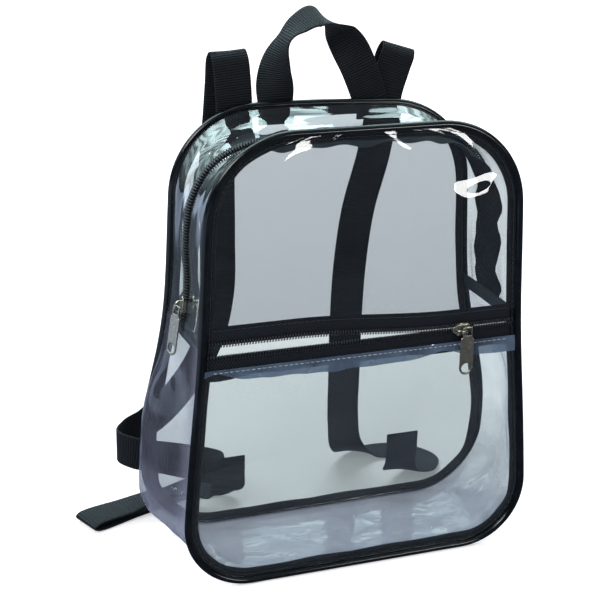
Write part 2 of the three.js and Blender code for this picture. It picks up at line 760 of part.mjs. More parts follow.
function addHandle() {
  const leg = HANDLE_SPAN / WIDTH_BOTTOM;
  const table = [
    { across: -leg * 0.93, up: SEWN_UP, wide: [-1, 0, 0] },
    { across: -leg * 0.93, up: 0.966, over: 0.2, wide: [-1, 0, 0] },
    { across: -leg * 0.93, up: 0.981, over: 1, wide: [-1, 0, 0] },
    { across: -leg * 0.93, up: 0.998, over: 1.3, wide: [-1, 0, 0] },
    { across: -leg * 0.93, up: 1, over: 1.6, rise: 0.4, wide: [-0.6, 0.8, 0] },
    { across: -leg * 0.77, up: 1, over: 1, rise: 0.75, wide: [0, 1, 0] },
    { across: -leg * 0.5, up: 1, over: 1, rise: 0.91, wide: [0, 0.94, 0.3] },
    { across: -leg * 0.19, up: 1, over: 1, rise: 1, wide: [0, 0.9, 0.4] },
    { across: leg * 0.1, up: 1, over: 1, rise: 0.92, wide: [-0.05, 0.98, 0] },
    { across: leg * 0.31, up: 1, over: 1, rise: 0.78, wide: [-0.7, 0.6, 0] },
    { across: leg * 0.64, up: 1, over: 1, rise: 0.43, wide: [-1, 0.15, -0.1] },
    { across: leg * 0.92, up: 0.998, over: 1.15, wide: [-1, 0, -0.3] },
    { across: leg * 0.97, up: 0.981, over: 1.15, wide: [-1, 0, -0.1] },
    { across: leg, up: 0.966, over: 0.2, wide: [-1, 0, 0] },
    { across: leg, up: SEWN_UP, wide: [-1, 0, 0] },
  ];
  addWebbing("grab_handle", table, HANDLE_RISE);
}

// The left strap stands in a loop over the top, hangs behind the back panel,
// bends out past the left side, and doubles back along the ground to its
// lower end on the back panel
function addLeftStrap() {
  const table = [
    { across: -0.505, up: 0.925, wide: [1, 0, 0] },
    { across: -0.505, up: 0.943, over: 0.2, wide: [1, 0, 0] },
    { across: -0.505, up: 0.96, over: 1, wide: [1, 0, 0] },
    { across: -0.505, up: 0.998, over: 1.15, wide: [1, 0, 0] },
    { across: -0.515, up: 1, over: 1, rise: 0.5, wide: [1, 0, 0] },
    { across: -0.525, up: 1, over: 1, rise: 0.86, behind: 0.02, wide: [1, 0, 0] },
    { across: -0.53, up: 1, over: 1, rise: 0.98, behind: 0.1, wide: [1, 0, 0.05] },
    { across: -0.535, up: 1, over: 1, rise: 0.84, behind: 0.19, wide: [1, 0, 0] },
    { across: -0.54, up: 1, over: 1, rise: 0.35, behind: 0.22, wide: [1, 0, 0] },
    { across: -0.555, up: 0.97, behind: 0.24, wide: [1, 0, 0] },
    { across: -0.58, up: 0.86, behind: 0.22, wide: [1, 0, 0] },
    { across: -0.58, up: 0.7, behind: 0.22, wide: [1, 0, 0] },
    { across: -0.58, up: 0.55, behind: 0.28, wide: [1, 0, 0] },
    { across: -0.62, up: 0.42, behind: 0.48, wide: [0.95, 0.2, -0.25] },
    { across: -0.74, up: 0.29, behind: 0.84, wide: [0.6, 0.25, -0.75] },
    { across: -0.92, up: 0.205, behind: 1, wide: [0.15, 0.1, -1] },
    { across: -1.07, up: 0.185, behind: 0.9, wide: [0, 0, -1] },
    { across: -1.145, up: 0.184, behind: 0.6, wide: [0, 0, -1] },
    { across: -1.08, up: 0.182, behind: 0.32, wide: [0, 0, -1] },
    { across: -0.92, up: 0.17, behind: 0.2, wide: [0, 0, -1] },
    { across: -0.68, up: 0.135, behind: 0.24, wide: [0, -0.2, -1] },
    { across: -0.5, up: 0.09, behind: 0.46, wide: [0.2, -0.5, -0.8] },
    { across: -0.48, up: 0.045, behind: 0.78, wide: [0.5, -0.7, -0.4] },
    { across: -0.62, up: 0.017, behind: 0.98, wide: [0.2, -1, -0.1] },
    { across: -0.84, up: 0.0075, behind: 0.86, wide: [0.25, -1, 0] },
    { across: -1.08, up: 0.0055, behind: 0.66, wide: [0.35, -1, 0] },
    { across: -1.34, up: 0.0055, behind: 0.42, wide: [0.4, -1, 0] },
    { across: -1.365, up: 0.0125, behind: 0.4, wide: [0.4, -1, 0] },
    { across: -1.33, up: 0.02, behind: 0.43, wide: [0.4, -1, 0] },
    { across: -1.1, up: 0.024, behind: 0.58, wide: [0.2, -1, 0.05] },
    { across: -0.9, up: 0.045, behind: 0.56, wide: [-0.1, -1, 0.2] },
    { across: -0.7, up: 0.056, behind: 0.4, wide: [-0.5, -0.8, 0.1] },
    { across: -0.58, up: 0.06, behind: 0.17, wide: [-1, -0.2, 0] },
    { across: -0.55, up: 0.08, behind: 0.05, wide: [-1, 0, 0] },
    { across: -0.55, up: STRAP_FOOT, behind: 0.01, wide: [-1, 0, 0] },
    { across: -0.55, up: STRAP_FOOT + SEWN_HEIGHT / HEIGHT, wide: [-1, 0, 0] },
  ];
  addWebbing("shoulder_strap_left", table, LOOP_RISE);
}

// The right strap hangs behind the back panel and lies in one bend on the ground
function addRightStrap() {
  const table = [
    { across: 0.365, up: 0.925, layer: 1, wide: [1, 0, 0] },
    { across: 0.365, up: 0.943, over: 0.4, layer: 1, wide: [1, 0, 0] },
    { across: 0.37, up: 0.965, over: 1, layer: 1, wide: [1, 0, -0.1] },
    { across: 0.38, up: 0.998, over: 1, layer: 1, behind: 0.04, wide: [1, 0, -0.15] },
    { across: 0.43, up: 1, over: 1, rise: 0.5, behind: 0.12, wide: [1, 0, -0.25] },
    { across: 0.46, up: 1, over: 1, rise: 0.8, behind: 0.14, wide: [1, 0, -0.3] },
    { across: 0.47, up: 1, over: 1, rise: 0.91, behind: 0.21, wide: [1, 0, -0.3] },
    { across: 0.455, up: 1, over: 1, rise: 0.77, behind: 0.28, wide: [1, 0, -0.3] },
    { across: 0.425, up: 1, over: 1, rise: 0.3, behind: 0.3, wide: [1, 0, -0.25] },
    { across: 0.395, up: 0.96, over: 1, behind: 0.26, wide: [1, 0, -0.22] },
    { across: 0.34, up: 0.86, behind: 0.22, wide: [1, 0, -0.22] },
    { across: 0.255, up: 0.73, behind: 0.22, wide: [1, 0, -0.2] },
    { across: 0.22, up: 0.6, behind: 0.26, wide: [1, 0, -0.1] },
    { across: 0.22, up: 0.46, behind: 0.36, wide: [1, 0, 0] },
    { across: 0.25, up: 0.3, behind: 0.56, wide: [1, 0, 0.05] },
    { across: 0.3, up: 0.15, behind: 0.86, wide: [1, 0, 0.1] },
    { across: 0.38, up: 0.05, behind: 1.14, wide: [1, -0.2, 0.1] },
    { across: 0.54, up: 0.011, behind: 1.34, wide: [0.7, -0.8, 0] },
    { across: 0.76, up: 0.006, behind: 1.26, wide: [-0.2, -1, 0] },
    { across: 0.86, up: 0.006, behind: 0.9, wide: [-1, -0.2, 0] },
    { across: 0.78, up: 0.012, behind: 0.56, wide: [-0.9, 0.5, 0] },
    { across: 0.65, up: 0.033, behind: 0.34, wide: [-0.9, 0.4, 0.1] },
    { across: 0.57, up: 0.055, behind: 0.17, wide: [-1, 0.2, 0] },
    { across: 0.55, up: 0.08, behind: 0.05, wide: [-1, 0, 0] },
    { across: 0.55, up: STRAP_FOOT, behind: 0.01, wide: [-1, 0, 0] },
    { across: 0.55, up: STRAP_FOOT + SEWN_HEIGHT / HEIGHT, wide: [-1, 0, 0] },
  ];
  addWebbing("shoulder_strap_right", table, LOOP_RISE);
}

addPanels();
addGusset();
addMainZip();
addPiping("front_piping", frontPlane);
addPiping("back_piping", backPlane);
addBinding("front_seam_binding", frontPlane, 1);
addBinding("back_seam_binding", backPlane, -1);
addPocketZip();
addMainSlider();
addPocketSlider();
addHandle();
addLeftStrap();
addRightStrap();

export default backpack;
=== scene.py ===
"""Looks for a small clear vinyl backpack with black piped edges.

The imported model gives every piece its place. This script dresses it: clear
vinyl walls that ripple, nylon coil zips tooth by tooth, cast sliders and pulls,
ribbed webbing, piping, bound seams and rows of stitches.
"""

import logging
import math
from dataclasses import dataclass
from enum import Enum
from functools import cached_property
from typing import Callable, Iterable, NamedTuple, Sequence

import bpy
from mathutils import Matrix, Vector, noise


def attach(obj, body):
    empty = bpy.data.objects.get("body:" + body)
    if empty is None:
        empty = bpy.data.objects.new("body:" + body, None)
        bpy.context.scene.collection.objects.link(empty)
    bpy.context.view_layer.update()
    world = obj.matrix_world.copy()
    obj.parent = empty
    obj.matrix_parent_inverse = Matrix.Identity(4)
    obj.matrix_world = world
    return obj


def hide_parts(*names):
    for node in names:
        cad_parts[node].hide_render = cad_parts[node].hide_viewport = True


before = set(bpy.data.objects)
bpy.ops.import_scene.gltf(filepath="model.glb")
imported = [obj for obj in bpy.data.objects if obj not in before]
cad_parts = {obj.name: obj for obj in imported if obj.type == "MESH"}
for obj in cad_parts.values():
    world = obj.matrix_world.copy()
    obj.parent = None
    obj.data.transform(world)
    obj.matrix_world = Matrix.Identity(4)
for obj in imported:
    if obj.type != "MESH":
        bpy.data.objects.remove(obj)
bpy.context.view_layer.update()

LOG = logging.getLogger("backpack")
MM = 0.001
BODY = "bag"
PVC_IOR = 1.53
TO_FRONT = Vector((0, -1, 0))

Piece = bpy.types.Object
Tree = bpy.types.NodeTree
Material = bpy.types.Material
Points = list[Vector]
Flat = tuple[float, float]
Triple = tuple[float, float, float]
Curve = Callable[[float], float]
Field = Callable[[float, float], float]


# Colour and nodes


def linear(hex_value: str) -> tuple[float, float, float, float]:
    """Turns an sRGB hex colour into linear values.

    Args:
        hex_value: six hex digits after a #.

    Returns:
        Linear red, green and blue, and an alpha of 1.
    """
    shares = [int(hex_value[i : i + 2], 16) / 255 for i in (1, 3, 5)]
    red, green, blue = (s / 12.92 if s <= 0.04045 else ((s + 0.055) / 1.055) ** 2.4 for s in shares)
    return red, green, blue, 1.0


def node(tree: Tree, kind: str, settings: dict | None = None, links: dict | None = None) -> bpy.types.Node:
    """Adds a shader node.

    Args:
        tree: the node tree.
        kind: Blender's name for the node, after ShaderNode.
        settings: properties by name, sockets' own values by name or number, and
            as stops a colour ramp's positions, each with its hex colour.
        links: what feeds each named or numbered input: a socket, or a node by its first output.

    Returns:
        The node.
    """
    made = tree.nodes.new(f"ShaderNode{kind}")
    for key, value in (settings or {}).items():
        if key == "stops":
            for element, (element.position, colour) in zip(made.color_ramp.elements, value):
                element.color = linear(colour)
        elif isinstance(key, str) and hasattr(made, key):
            setattr(made, key, value)
        else:
            made.inputs[key].default_value = value
    for key, source in (links or {}).items():
        tree.links.new(source.outputs[0] if isinstance(source, bpy.types.Node) else source, made.inputs[key])
    return made


def blank_material(name: str) -> tuple[Material, Tree]:
    """Makes a node material with an empty tree.

    Args:
        name: the material's name.

    Returns:
        The material and its tree.
    """
    material = bpy.data.materials.new(name)
    material.use_nodes = True
    material.node_tree.nodes.clear()
    return material, material.node_tree


# Finishes


@dataclass(frozen=True)
class ClearVinyl:
    """Calendered clear PVC sheet, about half a millimetre thick.

    It is glass-clear with a cold grey cast, mirrors lights sharply where it
    ripples, and turns milky where fingers have smeared it and beside its seams.
    On the walls and gusset that milky layer is also a painted reflection veil,
    the white that the sheet mirrors at grazing angles, and near the bag's foot
    it is painted greyish shade.
    It throws almost no shadow.
    """

    name: str
    tint: str
    haze: float = 0.02
    cloud: str = "#aebac2"
    ripple_mm: float = 26.0
    ripple_depth: float = 0.0007
    ripple_run: float = 0.6
    roughness: float = 0.03
    gloss: float = 1.4
    seam_haze: float = 0.0
    seam_mm: float = 20.0
    painted_foot_shade: float = 0.0
    smear_mm: float = 34.0

    def material(self) -> Material:
        """Makes the vinyl's material.

        Returns:
            The material.
        """
        material, tree = blank_material(self.name)
        place = node(tree, "UVMap", {"uv_map": "UVMap"})
        drawn = node(tree, "Mapping", {"Scale": (1, self.ripple_run, 1)}, {"Vector": place})
        waves = {"Scale": 1 / (self.ripple_mm * MM), "Detail": 1.5, "Roughness": 0.4, "Distortion": 0.5}
        broad = node(tree, "TexNoise", waves, {"Vector": drawn})
        bump = node(tree, "Bump", {"Strength": 1.0, "Distance": self.ripple_depth}, {"Height": broad})
        inside = node(tree, "NewGeometry").outputs["Backfacing"]
        ior = node(tree, "MapRange", {"To Min": PVC_IOR, "To Max": 1 / PVC_IOR}, {"Value": inside})
        fresnel = node(tree, "Fresnel", {}, {"IOR": ior, "Normal": bump})
        gloss = node(tree, "Math", {"operation": "MULTIPLY", "use_clamp": True, 1: self.gloss}, {0: fresnel})
        # Milky smears in blots. Their overall level is also a painted reflection veil, the white that the
        # sheet mirrors at grazing angles.
        blots = {"Scale": 1 / (self.smear_mm * MM), "Detail": 4.0, "Roughness": 0.6}
        smear = node(tree, "TexNoise", blots, {"Vector": place})
        spread = {"From Min": 0.35, "From Max": 0.7, "To Min": self.haze * 0.5, "To Max": self.haze * 1.5}
        smears_and_veil = node(tree, "MapRange", spread, {"Value": smear})
        across = node(tree, "SeparateXYZ", {}, {"Vector": place}).outputs["X"]
        fade = {"From Max": self.seam_mm * MM, "To Min": self.seam_haze, "To Max": 0.0}
        seam = node(tree, "MapRange", fade, {"Value": across})
        # Painted shade: the milky layer thickens towards the bag's foot and greys the bottom as shade would.
        spot = node(tree, "TexCoord").outputs["Object"]
        height = node(tree, "SeparateXYZ", {}, {"Vector": spot}).outputs["Z"]
        foot = {"From Min": 0.012, "From Max": 0.075, "To Min": self.painted_foot_shade, "To Max": 0.0}
        low = node(tree, "MapRange", foot, {"Value": height})
        # Both the seams' milkiness and the painted shade at the foot.
        worn = node(tree, "Math", {"operation": "ADD"}, {0: low, 1: seam})
        milky = node(tree, "Math", {"operation": "ADD", "use_clamp": True}, {0: smears_and_veil, 1: worn})
        clear = node(tree, "BsdfTransparent", {"Color": linear(self.tint)})
        cloud = node(tree, "BsdfDiffuse", {"Color": linear(self.cloud), "Roughness": 0.6})
        body = node(tree, "MixShader", {}, {0: milky, 1: clear, 2: cloud})
        shine = {"Color": (1, 1, 1, 1), "Roughness": self.roughness}
        mirror = node(tree, "BsdfGlossy", shine, {"Normal": bump})
        sheet = node(tree, "MixShader", {}, {0: gloss, 1: body, 2: mirror})
        shadow = node(tree, "LightPath").outputs["Is Shadow Ray"]
        faint = node(tree, "BsdfTransparent", {"Color": (0.93, 0.94, 0.95, 1)})
        seen = node(tree, "MixShader", {}, {0: shadow, 1: sheet, 2: faint})
        node(tree, "OutputMaterial", {}, {"Surface": seen})
        return material


@dataclass(frozen=True)
class PipingVinyl:
    """Extruded black PVC over a cord: deep black with one clean line of light."""

    name: str = "piping_vinyl"
    colour: str = "#05070a"
    worn: str = "#0e131b"
    roughness: float = 0.15
    scuff_mm: float = 9.0

    def material(self) -> Material:
        """Makes the piping's material.

        Returns:
            The material.
        """
        material, tree = blank_material(self.name)
        place = node(tree, "TexCoord").outputs["Object"]
        grain = {"Scale": 1 / (self.scuff_mm * MM), "Detail": 5.0, "Roughness": 0.6}
        scuffs = node(tree, "TexNoise", grain, {"Vector": place})
        stops = ((0.42, self.colour), (0.8, self.worn))
        colour = node(tree, "ValToRGB", {"stops": stops}, {"Fac": scuffs})
        blur = {"To Min": self.roughness * 0.8, "To Max": self.roughness * 1.4}
        sheen = node(tree, "MapRange", blur, {"Value": scuffs})
        bump = node(tree, "Bump", {"Strength": 0.35, "Distance": 0.0003}, {"Height": scuffs})
        links = {"Base Color": colour, "Roughness": sheen, "Normal": bump}
        skin = node(tree, "BsdfPrincipled", {"IOR": 1.5, "Specular IOR Level": 0.42}, links)
        node(tree, "OutputMaterial", {}, {"Surface": skin})
        return material


class Weave(Enum):
    """The weaves of the woven trims, by the degrees that their threads turn."""

    RIBS = 0
    TWILL = 38


@dataclass(frozen=True)
class WovenPolyester:
    """Black polyester, woven: webbing in cross ribs, zip tape in a fine twill.

    Each rib's top is painted a lighter bluish colour, a painted highlight of the light that the ribs catch,
    on an otherwise flat black; on the coated joint tape it is partly the coating's own grey.
    """

    name: str
    weave: Weave
    pitch_mm: float
    deep: str = "#020304"
    tops_tone_and_painted_sheen: str = "#141a23"
    depth: float = 0.0004
    roughness: float = 0.62
    fibre_mm: float = 0.9

    def material(self) -> Material:
        """Makes the cloth's material, laid out by the piece's UV map in metres.

        Returns:
            The material.
        """
        material, tree = blank_material(self.name)
        place = node(tree, "UVMap", {"uv_map": "UVMap"})
        turn = {"Rotation": (0, 0, math.radians(self.weave.value))}
        turned = node(tree, "Mapping", turn, {"Vector": place})
        waves = {"wave_type": "BANDS", "bands_direction": "Y", "wave_profile": "SIN"}
        waves |= {"Scale": 1 / (self.pitch_mm * MM) * math.pi / 10}
        waves |= {"Distortion": 0.25, "Detail": 2.0, "Detail Scale": 1.0}
        threads = node(tree, "TexWave", waves, {"Vector": turned}).outputs["Fac"]
        fibres = {"Scale": 1 / (self.fibre_mm * MM), "Detail": 3.0, "Roughness": 0.7}
        across = node(tree, "TexNoise", fibres, {"Vector": place})
        height = node(tree, "Math", {"operation": "MULTIPLY_ADD", 1: 0.3}, {0: across, 2: threads})
        # The threads' tops take the lighter colour: a painted bluish sheen, partly the cloth's own tone.
        stops = ((0.25, self.deep), (1.0, self.tops_tone_and_painted_sheen))
        colour = node(tree, "ValToRGB", {"stops": stops}, {"Fac": height})
        bump = node(tree, "Bump", {"Strength": 0.8, "Distance": self.depth}, {"Height": height})
        matt = {"Roughness": self.roughness, "Specular IOR Level": 0.2, "Sheen Weight": 0.02}
        cloth = node(tree, "BsdfPrincipled", matt, {"Base Color": colour, "Normal": bump})
        node(tree, "OutputMaterial", {}, {"Surface": cloth})
        return material


@dataclass(frozen=True)
class Nylon:
    """Nylon monofilament or thread: smooth, slightly glossy and near black."""

    name: str
    colour: str
    bright: str
    roughness: float = 0.38
    speckle_mm: float = 1.6
    ior: float = 1.53

    def material(self) -> Material:
        """Makes the nylon's material.

        Returns:
            The material.
        """
        material, tree = blank_material(self.name)
        place = node(tree, "TexCoord").outputs["Object"]
        grain = {"Scale": 1 / (self.speckle_mm * MM), "Detail": 2.0}
        speckle = node(tree, "TexNoise", grain, {"Vector": place})
        stops = ((0.3, self.colour), (0.75, self.bright))
        colour = node(tree, "ValToRGB", {"stops": stops}, {"Fac": speckle})
        smooth = {"Roughness": self.roughness, "IOR": self.ior}
        strand = node(tree, "BsdfPrincipled", smooth, {"Base Color": colour})
        node(tree, "OutputMaterial", {}, {"Surface": strand})
        return material


@dataclass(frozen=True)
class NickelPlate:
    """Die-cast zinc with a warm nickel plating, tumbled smooth.

    The flats are softly blurred and the rounded edges are rubbed brighter.
    """

    name: str = "nickel_plate"
    colour: str = "#c6beae"
    dull: str = "#938b7c"
    roughness: float = 0.24
    grain_mm: float = 2.2

    def material(self) -> Material:
        """Makes the plating's material.

        Returns:
            The material.
        """
        material, tree = blank_material(self.name)
        place = node(tree, "TexCoord").outputs["Object"]
        grain = {"Scale": 1 / (self.grain_mm * MM), "Detail": 5.0, "Roughness": 0.65}
        cast = node(tree, "TexNoise", grain, {"Vector": place})
        edges = node(tree, "NewGeometry").outputs["Pointiness"]
        rubbed = node(tree, "Math", {"operation": "MULTIPLY_ADD", 1: 0.5}, {0: cast, 2: edges})
        stops = ((0.6, self.dull), (0.86, self.colour))
        colour = node(tree, "ValToRGB", {"stops": stops}, {"Fac": rubbed})
        spread = {"To Min": self.roughness * 0.75, "To Max": self.roughness * 1.35}
        blur = node(tree, "MapRange", spread, {"Value": cast})
        bump = node(tree, "Bump", {"Strength": 0.25, "Distance": 0.0002}, {"Height": cast})
        links = {"Base Color": colour, "Roughness": blur, "Normal": bump}
        metal = node(tree, "BsdfPrincipled", {"Metallic": 1.0}, links)
        node(tree, "OutputMaterial", {}, {"Surface": metal})
        return material


class Finishes:
    """Every finish on the bag, made once."""

    def __init__(self) -> None:
        self.window = ClearVinyl("clear_vinyl_window", "#c6c9cb", haze=0.01).material()
        self.back = ClearVinyl("clear_vinyl_back", "#bfc4c6", haze=0.01).material()
        self.pocket = ClearVinyl("clear_vinyl_pocket", "#f6f9f8", haze=0.016).material()
        self.top_gusset = ClearVinyl(
            "clear_vinyl_top", "#e6ecee", 0.03, ripple_mm=17.0, ripple_depth=0.0017,
            ripple_run=0.16, roughness=0.06, gloss=1.8, seam_haze=0.12, seam_mm=6.0,
        ).material()
        # The gusset's lavender milky layer is partly a painted reflection veil, and towards the foot it is
        # painted shade.
        self.gusset = ClearVinyl(
            "gusset_vinyl_smears_painted_veil_and_shade", "#dbe0e4", 0.15, "#878ba3", ripple_mm=16.0,
            ripple_depth=0.0011, roughness=0.07, gloss=1.0, seam_haze=0.42, painted_foot_shade=0.55,
        ).material()
        fold = ClearVinyl("folded_vinyl_hem", "#939fae", 0.66, "#56657a", ripple_mm=7.0, ripple_depth=0.0006)
        self.hem = fold.material()
        self.piping = PipingVinyl().material()
        # The tape's navy thread tops are a painted blue reflection.
        self.tape = WovenPolyester("twill_zip_tape", Weave.TWILL, 1.5, tops_tone_and_painted_sheen="#171f2d").material()
        coated = WovenPolyester("coated_joint_tape", Weave.RIBS, 1.2, "#11161b", "#37424c", 0.0002, 0.35)
        self.joint = coated.material()
        self.webbing = WovenPolyester("ribbed_webbing", Weave.RIBS, 1.7).material()
        self.coil = Nylon("nylon_coil", "#090b0f", "#1f242c", 0.3).material()
        self.thread = Nylon("sewing_thread", "#0c0f14", "#20262d", 0.6).material()
        self.pale_thread = Nylon("hem_thread", "#67757f", "#9fadb6", 0.55).material()
        self.metal = NickelPlate().material()


# The bag's shape, the same sizes as the part, in millimetres


@dataclass(frozen=True)
class Knot:
    """A place on the outline over the piping and its outward direction."""

    x: float
    z: float
    nx: float
    nz: float

    def mirrored(self) -> "Knot":
        """Returns the knot on the other side."""
        return Knot(-self.x, self.z, -self.nx, self.nz)


def ease(value: float) -> float:
    """Returns a smooth step from 0 to 1 for a value from 0 to 1."""
    t = min(1.0, max(0.0, value))
    return t * t * (3 - 2 * t)


def hump(value: float, centre: float, reach: float) -> float:
    """Returns a bell curve's height, 1 at its centre."""
    return math.exp(-(((value - centre) / reach) ** 2))


@dataclass(frozen=True)
class BagForm:
    """The outline, the leaning panels, and how the filled bag gives."""

    height: float = 305.0
    width_top: float = 218.0
    width_bottom: float = 246.0
    corner_top: float = 61.0
    corner_bottom: float = 46.0
    depth: float = 85.0
    front_lean: float = 6.0
    back_lean: float = 2.5
    waist_pull: float = 2.0
    waist_spread: float = 60.0
    vinyl: float = 1.0
    tape: float = 0.8
    gap: float = 0.3
    piping: float = 5.0
    top_sag: float = 13.0
    side_bulge: float = 10.0
    side_ripple: float = 0.8
    back_spread: float = 11.0
    shoulder_droop: float = 4.0
    bulge_top: float = 0.56
    bulge_fade: float = 0.2
    bulge_foot: float = 0.12
    spread_centre: float = 0.26
    spread_reach: float = 0.2
    ripple_length: float = 0.2
    chain_depth: float = 0.51
    joint_height: float = 168.0
    joint_strip: float = 10.0
    zip_height: float = 164.5
    arc_steps: int = 26
    side_steps: int = 46
    flat_steps: int = 16

    @cached_property
    def right(self) -> list[Knot]:
        """Lays out the right half of the outline.

        Returns:
            Its knots, from bottom middle to top middle.
        """
        low_x = self.width_bottom / 2 - self.corner_bottom
        high_x = self.width_top / 2 - self.corner_top
        high_z = self.height - self.corner_top
        across, rise = high_x - low_x, high_z - self.corner_bottom
        taper = math.asin((self.corner_bottom - self.corner_top) / math.hypot(across, rise))
        taper -= math.atan2(across, rise)
        low = self._corner(low_x, self.corner_bottom, self.corner_bottom, -math.pi / 2, taper)
        high = self._corner(high_x, high_z, self.corner_top, taper, math.pi / 2)
        start, end = low[-1], high[0]
        knots = [Knot(low_x * i / self.flat_steps, 0, 0, -1) for i in range(self.flat_steps)] + low
        for i in range(1, self.side_steps):
            t = i / self.side_steps
            x, z = start.x + (end.x - start.x) * t, start.z + (end.z - start.z) * t
            knots.append(Knot(x, z, start.nx, start.nz))
        knots += high
        steps = range(self.flat_steps - 1, -1, -1)
        knots += [Knot(high_x * i / self.flat_steps, self.height, 0, 1) for i in steps]
        return [Knot(k.x - self.waist(k.z) * k.nx, k.z, k.nx, k.nz) for k in knots]

    def _corner(self, x: float, z: float, radius: float, start: float, end: float) -> list[Knot]:
        """Lays out a corner.

        Args:
            x: its centre across.
            z: its centre's height.
            radius: its radius.
            start: the first angle, in radians.
            end: the last angle.

        Returns:
            Its knots.
        """
        turns = [start + (end - start) * i / self.arc_steps for i in range(self.arc_steps + 1)]
        ways = [(math.cos(a), math.sin(a)) for a in turns]
        return [Knot(x + radius * nx, z + radius * nz, nx, nz) for nx, nz in ways]

    def waist(self, z: float) -> float:
        """Returns how far the sides are drawn in at a height."""
        return self.waist_pull * hump(z, self.zip_height, self.waist_spread)

    def ring(self) -> list[Knot]:
        """Returns the knots all the way round."""
        return self.right + [knot.mirrored() for knot in reversed(self.right[1:-1])]

    def knot_at(self, z: float, side: int = 1) -> Knot:
        """Finds the knot at a height.

        Args:
            z: the height.
            side: 1 for the right side, -1 for the left.

        Returns:
            The knot.
        """
        i = next(i for i, knot in enumerate(self.right) if knot.z > z)
        a, b = self.right[i - 1], self.right[i]
        t = (z - a.z) / (b.z - a.z)
        knot = Knot(*(p + (q - p) * t for p, q in ((a.x, b.x), (a.z, b.z), (a.nx, b.nx), (a.nz, b.nz))))
        return knot if side > 0 else knot.mirrored()

    def over_top(self, z: float) -> list[Knot]:
        """Returns the knots over the top, from a height on the right to the left."""
        half = [self.knot_at(z)] + [knot for knot in self.right if knot.z > z + 1]
        return half + [knot.mirrored() for knot in reversed(half[:-1])]

    def under_bottom(self, z: float) -> list[Knot]:
        """Returns the knots under the bottom, from a height on the left to the right."""
        half = [knot for knot in self.right if knot.z < z - 1] + [self.knot_at(z)]
        return [knot.mirrored() for knot in reversed(half[1:])] + half

    def front_plane(self, z: float) -> float:
        """Returns the front panel's depth at a height."""
        return -self.depth / 2 + self.front_lean * z / self.height

    def back_plane(self, z: float) -> float:
        """Returns the back panel's depth at a height."""
        return self.depth / 2 + self.back_lean * z / self.height

    def share_of(self, y: float, z: float) -> float:
        """Returns how far back a place lies: 0 at the front panel, 1 at the back."""
        front = self.front_plane(z)
        return (y - front) / (self.back_plane(z) - front)

    def sag(self, knot: Knot, share: float) -> float:
        """Works out how far the gusset gives.

        Args:
            knot: the place on the outline.
            share: how far back it lies, from 0 at the front to 1 at the back.

        Returns:
            How far the gusset lies inside its straight line.
        """
        hang = self.top_sag * max(0.0, knot.nz) ** 1.5 * math.sin(math.pi * share)
        level = knot.z / self.height
        low = ease((self.bulge_top - level) / self.bulge_fade) * ease(level / self.bulge_foot)
        bulge = self.side_bulge * low * math.sin(math.pi * share**2) * knot.nx**2
        beat = math.sin(2 * math.pi * level / self.ripple_length) * math.sin(math.pi * share)
        ripple = self.side_ripple * beat * knot.nx**2
        flat = ease(-knot.nz * 4 - 3) * ease(share * 9) * ease((1 - share) * 9)
        return hang - bulge + ripple - (self.piping / 2 - self.vinyl / 2) * flat

    def given(self, x: float, y: float, z: float) -> Vector:
        """Moves a place with the bag's give.

        Args:
            x: across, in millimetres.
            y: depth, in millimetres.
            z: height, in millimetres.

        Returns:
            The place in metres.
        """
        share = min(1.0, max(0.0, self.share_of(y, z)))
        level = z / self.height
        low = hump(level, self.spread_centre, self.spread_reach)
        shoulder = ease(0.2 + 1.8 * x / self.width_top) * max(0.0, level) ** 3
        wide = x * (1 + 2 * self.back_spread / self.width_bottom * share * low)
        return Vector((wide, y, z - self.shoulder_droop * share * shoulder)) * MM

    def edge_point(self, knot: Knot, inset: float, y: float) -> Vector:
        """Returns a place inset from a knot at a depth, in metres."""
        return self.given(knot.x - knot.nx * inset, y, knot.z - knot.nz * inset)

    def gusset_point(self, knot: Knot, inset: float, y: float) -> Vector:
        """Returns a place on the sagging gusset, inset from a knot at a depth."""
        return self.edge_point(knot, inset + self.sag(knot, self.share_of(y, knot.z)), y)

    def chain_y(self, z: float) -> float:
        """Returns the main zip's depth at a height."""
        return self.front_plane(z) + (self.back_plane(z) - self.front_plane(z)) * self.chain_depth

    def half_width(self, z: float, inset: float) -> float:
        """Measures the panel's half width.

        Args:
            z: the height.
            inset: how far inside the outline.

        Returns:
            Half the width there.
        """
        edge = [(k.x - k.nx * inset, k.z - k.nz * inset) for k in self.right]
        inner = edge[self.flat_steps : len(edge) - self.flat_steps + 1]
        for (ax, az), (bx, bz) in zip(inner, inner[1:]):
            if z <= bz:
                return ax + (bx - ax) * max(0.0, z - az) / max(1e-9, bz - az)
        return inner[-1][0]


# Meshes


def link(name: str, data: bpy.types.ID) -> Piece:
    """Puts data into the scene as an object.

    Args:
        name: the object's name.
        data: its mesh, curve, light or camera.

    Returns:
        The object.
    """
    made = bpy.data.objects.new(name, data)
    bpy.context.scene.collection.objects.link(made)
    return made


def smooth_object(name: str, vertices: Points, faces: list[tuple[int, ...]]) -> Piece:
    """Makes an object with smooth shading.

    Args:
        name: the object's name.
        vertices: its vertices.
        faces: each face's vertex numbers.

    Returns:
        The object.
    """
    mesh = bpy.data.meshes.new(name)
    mesh.from_pydata([tuple(v) for v in vertices], [], faces)
    mesh.polygons.foreach_set("use_smooth", [True] * len(mesh.polygons))
    mesh.update()
    return link(name, mesh)


def lengths_along(line: Points) -> list[float]:
    """Measures along a line.

    Args:
        line: its points.

    Returns:
        The distance from its start to each point.
    """
    lengths = [0.0]
    for a, b in zip(line, line[1:]):
        lengths.append(lengths[-1] + (b - a).length)
    return lengths


